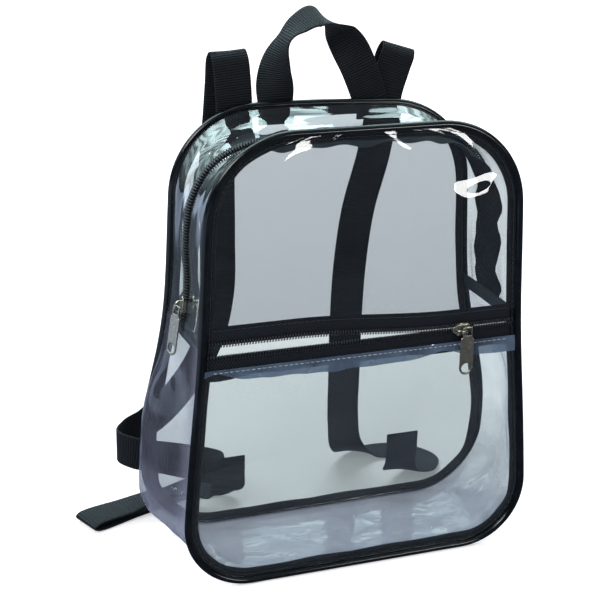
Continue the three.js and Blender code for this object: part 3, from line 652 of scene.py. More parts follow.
def grid_object(
    name: str, rows: Sequence[Points], round_rows: bool = False, round_all: bool = False
) -> Piece:
    """Makes a smooth mesh over rows of points, with a UV map in metres.

    Args:
        name: the object's name.
        rows: rows of equally many points.
        round_rows: whether each row closes on itself.
        round_all: whether the last row joins the first.

    Returns:
        The object.
    """
    count, wide = len(rows), len(rows[0])
    across = lengths_along([*rows[0], rows[0][0]])
    along = lengths_along([row[wide // 2] for row in (*rows, rows[0])])
    faces, uvs = [], []
    for i in range(count if round_all else count - 1):
        for j in range(wide if round_rows else wide - 1):
            k, m = (i + 1) % count, (j + 1) % wide
            faces.append((i * wide + j, i * wide + m, k * wide + m, k * wide + j))
            for u, v in ((j, i), (j + 1, i), (j + 1, i + 1), (j, i + 1)):
                uvs += (across[u], along[v])
    made = smooth_object(name, [p for row in rows for p in row], faces)
    made.data.uv_layers.new(name="UVMap").data.foreach_set("uv", uvs)
    return made


def join_meshes(name: str, parts: Iterable[Piece]) -> Piece:
    """Joins objects into the first of them.

    Args:
        name: its new name.
        parts: the objects.

    Returns:
        The joined object.
    """
    parts = list(parts)
    with bpy.context.temp_override(active_object=parts[0], selected_editable_objects=parts):
        bpy.ops.object.join()
    parts[0].name = parts[0].data.name = name
    return parts[0]


def dress(
    piece: Piece, material: Material, slot: str, stands_for: Sequence[str] = (), body: str = BODY
) -> None:
    """Gives a piece its finish, its body and the nodes that it stands for.

    Args:
        piece: the object.
        material: its finish.
        slot: not used.
        stands_for: the CAD nodes that it replaces.
        body: the body that it rides on.
    """
    piece.data.materials.clear()
    piece.data.materials.append(material)
    if stands_for:
        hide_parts(*stands_for)
    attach(piece, body)
    LOG.info("%s: %d faces", piece.name, len(piece.data.polygons))


@dataclass
class Stitches:
    """Rows of lockstitches: short rounded threads along lines on a face."""

    name: str
    length: float = 3.0
    gap: float = 0.8
    thread: float = 0.26
    sides: int = 6

    def build(self, lines: Sequence[tuple[Points, Vector]]) -> Piece:
        """Makes one object of several rows.

        Args:
            lines: each row's points in metres, and the direction out of its face.

        Returns:
            The object.
        """
        vertices: Points = []
        faces: list[tuple[int, ...]] = []
        for line, out in lines:
            lengths = lengths_along(line)
            at = self.gap * MM
            while at + self.length * MM < lengths[-1]:
                ends = [self._along(line, lengths, at + self.length * MM * s) for s in (0, 0.5, 1)]
                self._thread(ends, out, vertices, faces)
                at += (self.length + self.gap) * MM
        return smooth_object(self.name, vertices, faces)

    @staticmethod
    def _along(line: Points, lengths: list[float], at: float) -> Vector:
        """Returns the place at a distance along the line."""
        i = next((i for i in range(1, len(lengths)) if lengths[i] >= at), len(lengths) - 1)
        return line[i - 1].lerp(line[i], (at - lengths[i - 1]) / max(1e-9, lengths[i] - lengths[i - 1]))

    def _thread(self, ends: Points, out: Vector, vertices: Points, faces: list) -> None:
        """Adds one thread, sunk at its ends and proud in its middle.

        Args:
            ends: its start, middle and end.
            out: the direction out of the face.
            vertices: the list that its vertices join.
            faces: the list that its faces join.
        """
        side = (ends[2] - ends[0]).normalized().cross(out)
        base, sides = len(vertices), self.sides
        for point, rise, girth in zip(ends, (-0.2, 0.55, -0.2), (0.55, 1.0, 0.55)):
            radius = self.thread * MM * girth
            centre = point + out * self.thread * MM * rise
            for j in range(sides):
                angle = 2 * math.pi * j / sides
                vertices.append(centre + side * radius * math.cos(angle) + out * radius * math.sin(angle))
        for ring in (base, base + sides):
            for j in range(sides):
                k = (j + 1) % sides
                faces.append((ring + j, ring + k, ring + sides + k, ring + sides + j))
        faces.append(tuple(base + j for j in reversed(range(sides))))
        faces.append(tuple(base + 2 * sides + j for j in range(sides)))


# Panels


@dataclass
class Dent:
    """A soft crease in a clear panel, which is what catches the lights."""

    x: float
    z: float
    length: float
    width: float
    depth: float
    turn: float = 0.0

    def at(self, x: float, z: float) -> float:
        """Works out the crease's depth.

        Args:
            x: the place across the panel.
            z: its height.

        Returns:
            The depth there.
        """
        c, s = math.cos(math.radians(self.turn)), math.sin(math.radians(self.turn))
        dx, dz = x - self.x, z - self.z
        along, over = (dx * c + dz * s) / self.length, (dz * c - dx * s) / self.width
        bend = over - 0.35 * math.sin(along * 2.6)
        return self.depth * math.exp(-(along**2) - bend**2)


@dataclass
class Panels:
    """The four clear panels: window, pocket front, pocket back and back."""

    form: BagForm
    finishes: Finishes
    inset: float = 4.4
    zip_edge: float = 173.9
    pocket_top: float = 155.1
    pocket_back_top: float = 176.0
    pocket_depth: float = 3.9
    bottom: float = 5.3
    pocket_open: float = 6.0
    slider_across: float = 61.5
    open_run: float = 110.0
    open_fade: float = 55.0
    columns: int = 84
    rows: int = 90
    window_dents: tuple[Dent, ...] = (
        Dent(74, 254, 18, 9.5, 2.5, -15),
        Dent(94, 249, 4.6, 4.2, -0.8, 10),
        Dent(-60, 284, 16, 5.5, 1.3, 22),
        Dent(-20, 230, 60, 40, -1.6, 30),
        Dent(40, 205, 50, 60, 1.2, 80),
    )
    pocket_dents: tuple[Dent, ...] = (
        Dent(82, 118, 30, 9, 0.8, 84),
        Dent(97, 66, 34, 8, -0.8, 86),
        Dent(-60, 40, 40, 22, 1.0, 35),
        Dent(78, 24, 12, 3.2, 0.8, 38),
        Dent(92, 33, 6, 2.6, 0.7, 60),
        Dent(-92, 28, 14, 5, 1.0, -42),
        Dent(20, 13, 44, 4, 0.6, 3),
    )
    lining_dents: tuple[Dent, ...] = (Dent(30, 90, 70, 30, -0.9, 60), Dent(-50, 60, 60, 24, 0.8, -40))
    back_dents: tuple[Dent, ...] = (Dent(-10, 150, 90, 60, 0.8, 60),)

    def lift(self, x: float) -> float:
        """Returns how far the zip's upper side stands open at a place across."""
        return self.pocket_open * ease((self.slider_across - x) / self.open_run)

    def window_lift(self, x: float, z: float) -> float:
        """Returns how far a place on the window is carried up by the open zip."""
        return self.lift(x) * (1 - ease((z - self.zip_edge) / self.open_fade))

    def sheet(
        self, name: str, low: float, high: float, depth: Curve, swell: float,
        dents: Sequence[Dent], rise: Field,
    ) -> Piece:
        """Makes one panel.

        Args:
            name: the piece's name.
            low: its lowest height.
            high: its highest height.
            depth: its depth at a height.
            swell: how far its middle stands out, towards +Y.
            dents: its creases.
            rise: how far each place is carried up.

        Returns:
            The object.
        """
        rows, tall, form = [], high - low, self.form
        for i in range(self.rows + 1):
            t = i / self.rows
            z0 = low + tall * (0.5 - 0.5 * math.cos(math.pi * t)) * 0.5 + tall * t * 0.5
            up = (z0 - low) / tall
            row = []
            for j in range(self.columns + 1):
                u = 2 * j / self.columns - 1
                z = z0 + rise(u * form.half_width(z0, self.inset), z0)
                x = u * form.half_width(min(z, form.height - self.inset), self.inset)
                held = (1 - u**4) * math.sin(math.pi * up)
                near = min(1.0, 6 * (1 - abs(u))) * min(1.0, 12 * up + 0.1)
                wave = 0.55 * noise.noise(Vector((x / 55, z / 70, low))) * near
                crease = sum(dent.at(x, z) for dent in dents)
                row.append(form.given(x, depth(z) + swell * held + wave - crease, z))
            rows.append(row)
        return grid_object(name, rows)

    def build(self) -> None:
        form, finishes, top = self.form, self.finishes, self.form.height - self.inset
        still = lambda x, z: 0.0
        lining = lambda z: form.front_plane(z) + self.pocket_depth
        for name, node_name, finish, low, high, depth, swell, dents, rise in (
            ("front_window", "front_upper_panel", finishes.window,
             self.zip_edge, top, form.front_plane, -2.5, self.window_dents, self.window_lift),
            ("pocket_front", "front_pocket_panel", finishes.pocket,
             self.inset, self.pocket_top, form.front_plane, -3.0, self.pocket_dents, still),
            ("pocket_back", "pocket_back_panel", finishes.pocket,
             self.bottom, self.pocket_back_top, lining, 9.0, self.lining_dents, still),
            ("back_wall", "back_panel", finishes.back,
             self.inset, top, form.back_plane, 0.0, self.back_dents, still),
        ):
            piece = self.sheet(name, low, high, depth, swell, dents, rise)
            dress(piece, finish, "vinyl", [node_name])
            self.declare(low, high)

    def declare(self, low: float, high: float) -> None:
        """Measures a panel's widths in bands up it; the widths are not used.

        Args:
            low: its lowest height.
            high: its highest height.
        """
        tall, bands = high - low, 40
        widths = [2 * self.form.half_width(low + tall * (i + 0.5) / bands, self.inset) for i in range(bands)]


# Gusset


@dataclass
class Gusset:
    """The clear band round the sides, and the joint strips across it."""

    form: BagForm
    finishes: Finishes
    seam: float = 1.2
    slot: float = 10.0
    crinkle: float = 0.5
    strip_crinkle: float = 0.12
    stitch_apart: float = 2.6

    def front(self, z: float) -> float:
        """Returns the front seam's depth at a height."""
        return self.form.front_plane(z) + self.seam

    def back(self, z: float) -> float:
        """Returns the back seam's depth at a height."""
        return self.form.back_plane(z) - self.seam

    def strip(
        self, name: str, knots: Sequence[Knot], front: Curve, back: Curve, steps: int, inset: float,
        crinkle: float = 0.0, flare: Callable[[Knot, float], float] | None = None,
    ) -> Piece:
        """Makes a strip that runs along the outline.

        Args:
            name: the piece's name.
            knots: the places along the outline.
            front: the front edge's depth at a height.
            back: the back edge's depth at a height.
            steps: divisions across the strip.
            inset: how far inside the outline it lies.
            crinkle: the height of its crinkles.
            flare: more inset at a knot and a share across.

        Returns:
            The object.
        """
        rows = []
        for knot in knots:
            row = []
            start, end = front(knot.z), back(knot.z)
            along = math.atan2(knot.z - 140, knot.x) * 110
            low = hump(knot.z, 20, 50)
            for t in (j / steps for j in range(steps + 1)):
                y = start + (end - start) * t
                held = math.sin(math.pi * t) ** 0.6 if crinkle else 0.0
                fold = noise.noise(Vector((along / 42, y / 11, inset)))
                fine = noise.noise(Vector((along / 9, y / 15, 5.0)))
                more = crinkle * held * (1.4 * fold + 1.2 * fine * low) * (1 - 0.75 * max(0.0, -knot.nz) ** 4)
                if flare:
                    more += flare(knot, t)
                row.append(self.form.gusset_point(knot, inset + more, y))
            rows.append(row)
        return grid_object(name, rows)

    def build(self) -> None:
        """Makes and dresses the gusset's pieces."""
        form, base = self.form, self.form.piping / 2
        to_slot = lambda z: form.chain_y(z) - self.slot / 2
        from_slot = lambda z: form.chain_y(z) + self.slot / 2
        under, over = form.under_bottom(form.joint_height), form.over_top(form.joint_height)
        side, top = self.finishes.gusset, self.finishes.top_gusset
        for name, node_name, finish, knots, front, back, steps in (
            ("lower_gusset", "gusset_bottom", side, under, self.front, self.back, 34),
            ("upper_gusset_front", "gusset_top_front", top, over, self.front, to_slot, 20),
            ("upper_gusset_back", "gusset_top_back", top, over, from_slot, self.back, 20),
        ):
            band = self.strip(name, knots, front, back, steps, base, self.crinkle)
            dress(band, finish, "vinyl", [node_name])
        self.joints(base)

    def joints(self, base: float) -> None:
        """Makes the strips over the joints and their stitches.

        Args:
            base: the gusset's inset.
        """
        form, lines = self.form, []
        half = form.joint_strip / 2 + 0.6
        for side, name in ((1, "gusset_joint_right"), (-1, "gusset_joint_left")):
            knots = [form.knot_at(form.joint_height - half + 2 * half * i / 8, side) for i in range(9)]
            inset = base + form.vinyl + 0.5
            strip = self.strip(f"{name}_tape", knots, self.front, self.back, 30, inset, self.strip_crinkle)
            dress(strip, self.finishes.joint, "tape", [name])
            for z in (form.joint_height - self.stitch_apart, form.joint_height + self.stitch_apart):
                knot, start, end = form.knot_at(z, side), self.front(z), self.back(z)
                depths = [start + (end - start) * i / 24 for i in range(25)]
                line = [form.gusset_point(knot, base - 0.15, y) for y in depths]
                lines.append((line, Vector((side, 0, 0))))
        dress(Stitches("joint_stitches").build(lines), self.finishes.thread, "tape")


# Zips


@dataclass
class CoilRow:
    """One side of a nylon coil: a row of bent teeth along a line."""

    pitch: float = 1.9
    reach: float = 3.0
    overlap: float = 0.7
    height: float = 0.8
    wire: float = 0.42
    slant: float = 0.22
    flatten: float = 1.25

    def build(self, name: str, line: Points, over: Vector, outs: Points, shift: float) -> Piece:
        """Makes the teeth.

        Args:
            name: the object's name.
            line: the chain's middle line.
            over: the direction from the middle to this side.
            outs: the direction out of the tape at each point.
            shift: where the first tooth starts, as a share of the pitch.

        Returns:
            The object.
        """
        profile = [(-self.overlap, -0.3), (-self.overlap * 0.8, 0.7)]
        profile += [(0.5, 1.0), (1.9, 0.95), (2.8, 0.5), (3.0, -0.4)]
        lengths = lengths_along(line)
        vertices: Points = []
        faces: list[tuple[int, ...]] = []
        at = self.pitch * MM * (0.5 + shift)
        i = 1
        while at < lengths[-1] - self.pitch * MM * 0.5:
            while lengths[i] < at:
                i += 1
            point = line[i - 1].lerp(line[i], (at - lengths[i - 1]) / (lengths[i] - lengths[i - 1]))
            along = (line[i] - line[i - 1]).normalized()
            away = (over * self.reach + along * self.slant) / 3
            path = [point + (away * x + outs[i] * h * self.height) * MM for x, h in profile]
            base, last = len(vertices), len(path) - 1
            for n, place in enumerate(path):
                ahead = path[min(last, n + 1)] - path[max(0, n - 1)]
                normal = ahead.cross(along).normalized()
                for angle in (math.pi / 2 * (k + 0.5) for k in range(4)):
                    turn = along * math.cos(angle) * self.flatten + normal * math.sin(angle)
                    vertices.append(place + turn * self.wire * MM)
            for a in range(base, base + last * 4, 4):
                faces += [(a + k, a + (k + 1) % 4, a + 4 + (k + 1) % 4, a + 4 + k) for k in range(4)]
            faces.append((base + 3, base + 2, base + 1, base))
            end = base + last * 4
            faces.append((end, end + 1, end + 2, end + 3))
            at += self.pitch * MM
        return smooth_object(name, vertices, faces)


@dataclass
class Hardware:
    """A slider with its arch, and the pull that hangs on it."""

    finishes: Finishes
    length: float = 11.0
    plate: float = 1.4
    wall: float = 1.0
    gap: float = 0.3
    arch_span: float = 7.6
    arch_rise: float = 4.3
    arch_width: float = 2.0
    arch_radius: float = 0.42
    arch_flat: float = 1.8
    pull_thick: float = 1.2
    pull_hole: Flat = (4.8, 5.0)
    pull_rim: float = 1.0
    pull_width: float = 9.6
    pull_length: float = 34.0
    pull_eye: float = 6.8
    crease_deg: float = 50.0

    def cut_plate(self, name: str, outlines: Sequence[Sequence[Flat]], thick: float, edge: float) -> Piece:
        """Makes a flat plate with rounded edges, standing about its middle plane.

        Args:
            name: the object's name.
            outlines: the outer outline and then its holes, in millimetres.
            thick: the plate's thickness.
            edge: the radius of its edges.

        Returns:
            The object.
        """
        curve = bpy.data.curves.new(name, "CURVE")
        curve.dimensions = "2D"
        curve.fill_mode = "BOTH"
        curve.extrude = (thick / 2 - edge) * MM
        curve.bevel_depth = edge * MM
        curve.offset = -edge * MM
        curve.bevel_resolution = 2
        for outline in outlines:
            spline = curve.splines.new("POLY")
            spline.points.add(len(outline) - 1)
            for spot, (x, y) in zip(spline.points, outline):
                spot.co = (x * MM, y * MM, 0, 1)
            spline.use_cyclic_u = True
        shape = link(name, curve)
        bpy.context.view_layer.update()
        mesh = bpy.data.meshes.new_from_object(shape.evaluated_get(bpy.context.evaluated_depsgraph_get()))
        bpy.data.objects.remove(shape)
        return link(name, mesh)

    @staticmethod
    def arc(cx: float, cy: float, radius: float, start: float, end: float, steps: int) -> list[Flat]:
        """Returns points on an arc between two angles in degrees."""
        turns = [math.radians(start + (end - start) * i / steps) for i in range(steps + 1)]
        return [(cx + radius * math.cos(t), cy + radius * math.sin(t)) for t in turns]

    def arch(self, name: str) -> Piece:
        """Makes the flat wire arch that carries the pull.

        Args:
            name: the object's name.

        Returns:
            The object.
        """
        steps, sides, rows = 22, 10, []
        path = []
        for angle in (math.pi * i / steps for i in range(steps + 1)):
            rise = self.arch_rise * math.sin(angle) ** 0.55
            path.append(Vector((0, -math.cos(angle) * self.arch_span / 2, rise - 0.5)) * MM)
        side = Vector((0, 1, 0))
        for i, point in enumerate(path):
            along = (path[min(steps, i + 1)] - path[max(0, i - 1)]).normalized()
            side = (side - along * side.dot(along)).normalized()
            other = along.cross(side) * self.arch_flat
            turns = [2 * math.pi * (j + 0.5) / sides for j in range(sides)]
            ring = [side * math.cos(a) + other * math.sin(a) for a in turns]
            rows.append([point + spoke * self.arch_radius * MM for spoke in ring])
        return grid_object(name, rows, round_rows=True)

    def slider(self, name: str, chain_width: float, chain_thick: float) -> Piece:
        """Makes a slider: X across, Y along its travel, Z out, zero on its plate.

        Args:
            name: the object's name.
            chain_width: the closed chain's width.
            chain_thick: its thickness.

        Returns:
            The object.
        """
        outside = chain_width / 2 + self.gap + self.wall
        half = self.length / 2
        crown = [
            *self.arc(0, half - outside * 0.62, outside, 150, 30, 10),
            (outside * 0.8, -half * 0.35),
            *self.arc(0, -half + outside * 0.45, outside * 0.62, -20, -160, 8),
            (-outside * 0.8, -half * 0.35),
        ]
        top = self.cut_plate(f"{name}_top", [crown], self.plate, 0.35)
        top.data.transform(Matrix.Translation((0, 0, -self.plate / 2 * MM)))
        parts = [top]
        for x in (outside - self.wall / 2, self.wall / 2 - outside):
            left, right, low, high = x - 0.5, x + 0.5, -half * 0.55, half * 0.8
            outline = [(left, low), (right, low), (right, high), (left, high)]
            wing = self.cut_plate(f"{name}_wing", [outline], chain_thick + self.plate * 0.6, 0.2)
            wing.data.transform(Matrix.Translation((0, 0, -(chain_thick + self.plate) / 2 * MM)))
            parts.append(wing)
        return join_meshes(name, [*parts, self.arch(f"{name}_arch")])

    def pull(self, name: str) -> Piece:
        """Makes a pull that hangs down -Y from its top bar, facing Z.

        Args:
            name: the object's name.

        Returns:
            The object.
        """
        bar, side = self.pull_rim / 2, self.pull_hole[0] / 2
        neck = side + self.pull_rim
        slot_end = -bar - self.pull_hole[1]
        shoulder = slot_end - self.pull_rim
        half = self.pull_width / 2
        eye = bar - self.pull_length + half
        turn_y = shoulder - self.pull_rim - 0.6
        outer = [
            *self.arc(neck - 1, bar - 1, 1, 0, 90, 4),
            *self.arc(1 - neck, bar - 1, 1, 90, 180, 4),
            (-neck, shoulder),
            *self.arc(-half + 0.8, turn_y, 0.8, 120, 180, 3),
            *self.arc(0, eye, half, 180, 360, 26),
            *self.arc(half - 0.8, turn_y, 0.8, 0, 60, 3),
            (neck, shoulder),
        ]
        slot = [(-side, -bar), (side, -bar), (side, slot_end), (-side, slot_end)]
        hole = self.arc(0, eye, self.pull_eye / 2, 0, 345, 23)
        return self.cut_plate(name, [outer, slot, hole], self.pull_thick, 0.3)

    def seat(self, piece: Piece, place: Matrix, node_name: str, body: str) -> None:
        """Moves a piece's mesh to its place and dresses it.

        Args:
            piece: the object.
            place: its frame.
            node_name: the CAD node that it stands for.
            body: the body that it rides on.
        """
        piece.data.transform(place)
        piece.data.polygons.foreach_set("use_smooth", [True] * len(piece.data.polygons))
        piece.data.set_sharp_from_angle(angle=math.radians(self.crease_deg))
        dress(piece, self.finishes.metal, "metal", [node_name], body)


def basis(across: Vector, along: Vector, out: Vector, at: Vector) -> Matrix:
    """Makes a frame.

    Args:
        across: its X direction.
        along: its Y direction.
        out: its Z direction.
        at: its origin.

    Returns:
        The frame's matrix.
    """
    matrix = Matrix((across, along, out)).transposed().to_4x4()
    matrix.translation = at
    return matrix


@dataclass
class MainZip:
    """The zip over the top of the gusset."""

    form: BagForm
    finishes: Finishes
    hardware: Hardware
    chain_width: float = 6.0
    chain_thick: float = 1.8
    tape_reach: float = 18.0
    slider_rise: float = 16.0
    pull_lift: float = 2.2
    pull_turn: float = 20.0

    def build(self) -> None:
        """Makes the tapes, the coil, the slider and the pull."""
        form = self.form
        knots = form.over_top(form.joint_height + form.joint_strip / 2)
        inset = form.piping / 2 + form.vinyl / 2 + form.gap
        middle = inset + form.tape / 2
        for sign, name in ((-1, "main_zip_tape_front"), (1, "main_zip_tape_back")):

            def droop(knot: Knot, t: float) -> float:
                """Works out how the tape's free edge hangs and flutters.

                Args:
                    knot: the place on the outline.
                    t: the share across the tape.

                Returns:
                    The added inset.
                """
                free = t if sign > 0 else 1 - t
                hang = (4.5 if sign < 0 else 1.5) * max(0.0, knot.nz)
                wave = math.sin(knot.x / 4.6) + 0.7 * math.sin(knot.x / 7.9 + 1) + 0.8 * math.sin(knot.z / 5)
                return free**2 * (1.1 * wave + hang + 0.8)

            def edge(z: float) -> float:
                """Returns the depth of the tape's wavy free edge."""
                wave = 1.9 * math.sin(z / 4.6) + 1.1 * math.sin(z / 2.9 + 2)
                return form.chain_y(z) + sign * (self.tape_reach + wave)

            def meet(z: float) -> float:
                """Returns the depth of the tape's edge under the chain."""
                return form.chain_y(z) - sign * 0.5

            front, back = (edge, meet) if sign < 0 else (meet, edge)
            gusset = Gusset(form, self.finishes)
            tape = gusset.strip(f"{name}_cloth", knots, front, back, 12, middle, flare=droop)
            dress(tape, self.finishes.tape, "tape", [name])
        self.chain(knots, inset - 0.7)
        self.slider_and_pull(inset)

    def chain(self, knots: Sequence[Knot], inset: float) -> None:
        """Makes both rows of teeth.

        Args:
            knots: the places along the outline.
            inset: how far inside the outline they run.
        """
        line = [self.form.gusset_point(knot, inset, self.form.chain_y(knot.z)) for knot in knots]
        outs = [Vector((knot.nx, 0, knot.nz)) for knot in knots]
        row = CoilRow(reach=self.chain_width / 2 + 0.5, height=1.75, wire=0.56)
        rows = [
            row.build(f"coil_{sign}", line, Vector((0, sign, 0)), outs, shift)
            for sign, shift in ((-1, 0.0), (1, 0.5))
        ]
        dress(join_meshes("main_zip_teeth", rows), self.finishes.coil, "coil", ["main_zip_coil"])

    def slider_and_pull(self, inset: float) -> None:
        """Makes the slider on the left side and its pull.

        Args:
            inset: the tapes' inset from the outline.
        """
        form, hardware = self.form, self.hardware
        top = inset - form.gap - self.chain_thick - form.gap - hardware.plate
        height = form.joint_height + self.slider_rise
        reach, y = hardware.length / 2, form.chain_y(height)
        knots = [form.knot_at(height + step, -1) for step in (-reach, 0, reach)]
        low, seat, high = (form.gusset_point(knot, top, y) for knot in knots)
        up = high - low
        up.y = 0
        up.normalize()
        out = Vector((-up.z, 0, up.x))
        frame_at = basis(up.cross(out), up, out, seat)
        slider = hardware.slider("main_slider", self.chain_width, self.chain_thick)
        hardware.seat(slider, frame_at, "main_zip_slider", BODY)
        turn = Matrix.Rotation(math.radians(self.pull_turn), 4, "Y")
        lifted = Matrix.Translation((0, 0, self.pull_lift * MM))
        hardware.seat(hardware.pull("main_pull_tab"), frame_at @ lifted @ turn, "main_zip_pull", "main_pull")


@dataclass
class PocketZip:
    """The zip across the front, partly open, with its hem and stitches."""

    form: BagForm
    finishes: Finishes
    hardware: Hardware
    panels: Panels
    coil_height: float = 2.8
    coil_thick: float = 1.9
    tape_shown: float = 6.6
    tape_near: float = 0.8
    lower_hidden: float = 6.6
    upper_hidden: float = 3.6
    slider_across: float = 67.0
    pull_lift: float = 2.2
    steps: int = 150

    def band(self, name: str, low: Curve, high: Curve, off: Field, inset: float, divisions: int) -> Piece:
        """Makes a strip across the front.

        Args:
            name: the piece's name.
            low: its lower edge's height across the bag.
            high: its upper edge's height across the bag.
            off: its depth from the front plane, across and up it.
            inset: how far its ends stand from the outline.
            divisions: rows of faces up it.

        Returns:
            The object.
        """
        form, rows = self.form, []
        reach = form.half_width(form.zip_height, inset)
        for u in (2 * i / self.steps - 1 for i in range(self.steps + 1)):
            foot, head = low(u * reach), high(u * reach)
            row = []
            for t in (j / divisions for j in range(divisions + 1)):
                z = foot + (head - foot) * t
                x = u * form.half_width(z, inset)
                row.append(form.given(x, form.front_plane(z) + off(x, t), z))
            rows.append(row)
        return grid_object(name, rows)

    def build(self) -> None:
        """Makes the tapes, teeth, hem, stitches, slider and pull."""
        line, lift = self.form.zip_height, self.panels.lift
        low_top, high_low = line - 0.4, line + 0.4
        top = line + self.coil_height + self.tape_shown
        bottom = self.panels.pocket_top - self.lower_hidden

        def wavy(x: float) -> float:
            """Returns the uneven lower edge of the hem's tape."""
            dips = 2.2 * hump(x, -97, 11) + 2.0 * hump(x, 55, 13)
            return bottom + 0.6 + 1.1 * noise.noise(Vector((x / 16, 0, 2.0))) - dips

        def hem_edge(x: float) -> float:
            """Draws the hem's lower edge, nicked where the tape hangs below it.

            Args:
                x: the place across the bag.

            Returns:
                The edge's height.
            """
            nicks = 4.6 * hump(x, -100, 9) + 4.4 * hump(x, 54, 12)
            fall = 1.4 + 2.2 * ease((x + 60) / 90)
            return bottom - fall + 1.4 * noise.noise(Vector((x / 14, 4, 2.0))) + math.sin(x / 23) + nicks

        def lay(x: float, t: float) -> float:
            """Returns the tapes' uneven depth from the front plane."""
            return self.tape_near + 0.4 + 0.12 * noise.noise(Vector((x / 9, t * 3, 0)))

        def folded(x: float, t: float) -> float:
            """Returns the hem's depth, which crowns over the fold."""
            return -0.75 - 0.35 * math.sin(math.pi * t) + 0.2 * noise.noise(Vector((x / 7, t * 2, 9)))

        tape, tapes = self.finishes.tape, 4.6
        foot = lambda x: high_low + lift(x)
        head = lambda x: top + self.upper_hidden + lift(x)
        lower = self.band("pocket_tape_lower", wavy, lambda x: low_top, lay, tapes, 8)
        dress(lower, tape, "tape", ["pocket_zip_tape_lower"])
        upper = self.band("pocket_tape_upper", foot, head, lay, tapes, 8)
        dress(upper, tape, "tape", ["pocket_zip_tape_upper"])
        hem = self.band("pocket_hem_fold", hem_edge, lambda x: self.panels.pocket_top + 0.2, folded, 5.2, 10)
        dress(hem, self.finishes.hem, "vinyl")
        self.teeth()
        self.sew(top)
        self.slider_and_pull()

    def row_line(self, reach: float, count: int, off: float, height: Curve) -> Points:
        """Returns a line across the front.

        Args:
            reach: how far it runs each side.
            count: its divisions.
            off: its depth from the front plane.
            height: its height at a place across.

        Returns:
            The points.
        """
        form, line = self.form, []
        for x in (-reach + 2 * reach * i / count for i in range(count + 1)):
            z = height(x)
            line.append(form.given(x, form.front_plane(z) + off, z))
        return line

    def teeth(self) -> None:
        """Makes the two rows of teeth."""
        form, count = self.form, 240
        reach = form.half_width(form.zip_height, 5.8)
        row = CoilRow(reach=self.coil_height, overlap=0.45, height=0.85, wire=0.4)
        for side, sign, shift in (("lower", -1, 0.0), ("upper", 1, 0.5)):
            height = lambda x: form.zip_height + sign * 0.25 + (self.panels.lift(x) if sign > 0 else 0)
            line = self.row_line(reach, count, self.tape_near - 0.55, height)
            outs = [TO_FRONT] * len(line)
            piece = row.build(f"pocket_teeth_{side}", line, Vector((0, 0, sign)), outs, shift)
            dress(piece, self.finishes.coil, "coil", [f"pocket_zip_coil_{side}"])

    def sew(self, top: float) -> None:
        """Makes the rows of stitches above and below the zip.

        Args:
            top: the height where the window's lower edge is sewn.
        """
        reach = self.form.half_width(self.form.zip_height, 9)
        hem_line = self.row_line(reach, 120, -1.2, lambda x: self.panels.pocket_top - 1.6)
        window_line = self.row_line(reach, 120, -0.75, lambda x: top + 1.5 + self.panels.lift(x))
        pale = Stitches("hem_stitches", length=2.6, gap=1.0, thread=0.42)
        dress(pale.build([(hem_line, TO_FRONT)]), self.finishes.pale_thread, "tape")
        dress(Stitches("window_stitches").build([(window_line, TO_FRONT)]), self.finishes.thread, "tape")

    def slider_and_pull(self) -> None:
        """Makes the slider at the end of the opening, and its pull."""
        form, hardware, across, z = self.form, self.hardware, self.slider_across, self.form.zip_height
        y = form.front_plane(z) + self.tape_near - form.gap - self.coil_thick - form.gap - hardware.plate
        right, up = Vector((1, 0, 0)), Vector((0, 0, 1))
        slider = hardware.slider("pocket_slider", 2 * self.coil_height + 0.4, self.coil_thick)
        seat = basis(right.cross(TO_FRONT), right, TO_FRONT, Vector((across, y, z)) * MM)
        hardware.seat(slider, seat, "pocket_zip_slider", BODY)
        hung = hardware.arch_width / 2 + form.gap + hardware.pull_rim / 2
        at = Vector((across + hardware.arch_span / 2, y - self.pull_lift, z + hung)) * MM
        place = basis(right, up, TO_FRONT, at)
        hardware.seat(hardware.pull("pocket_pull_tab"), place, "pocket_zip_pull", "pocket_pull")


# Edges


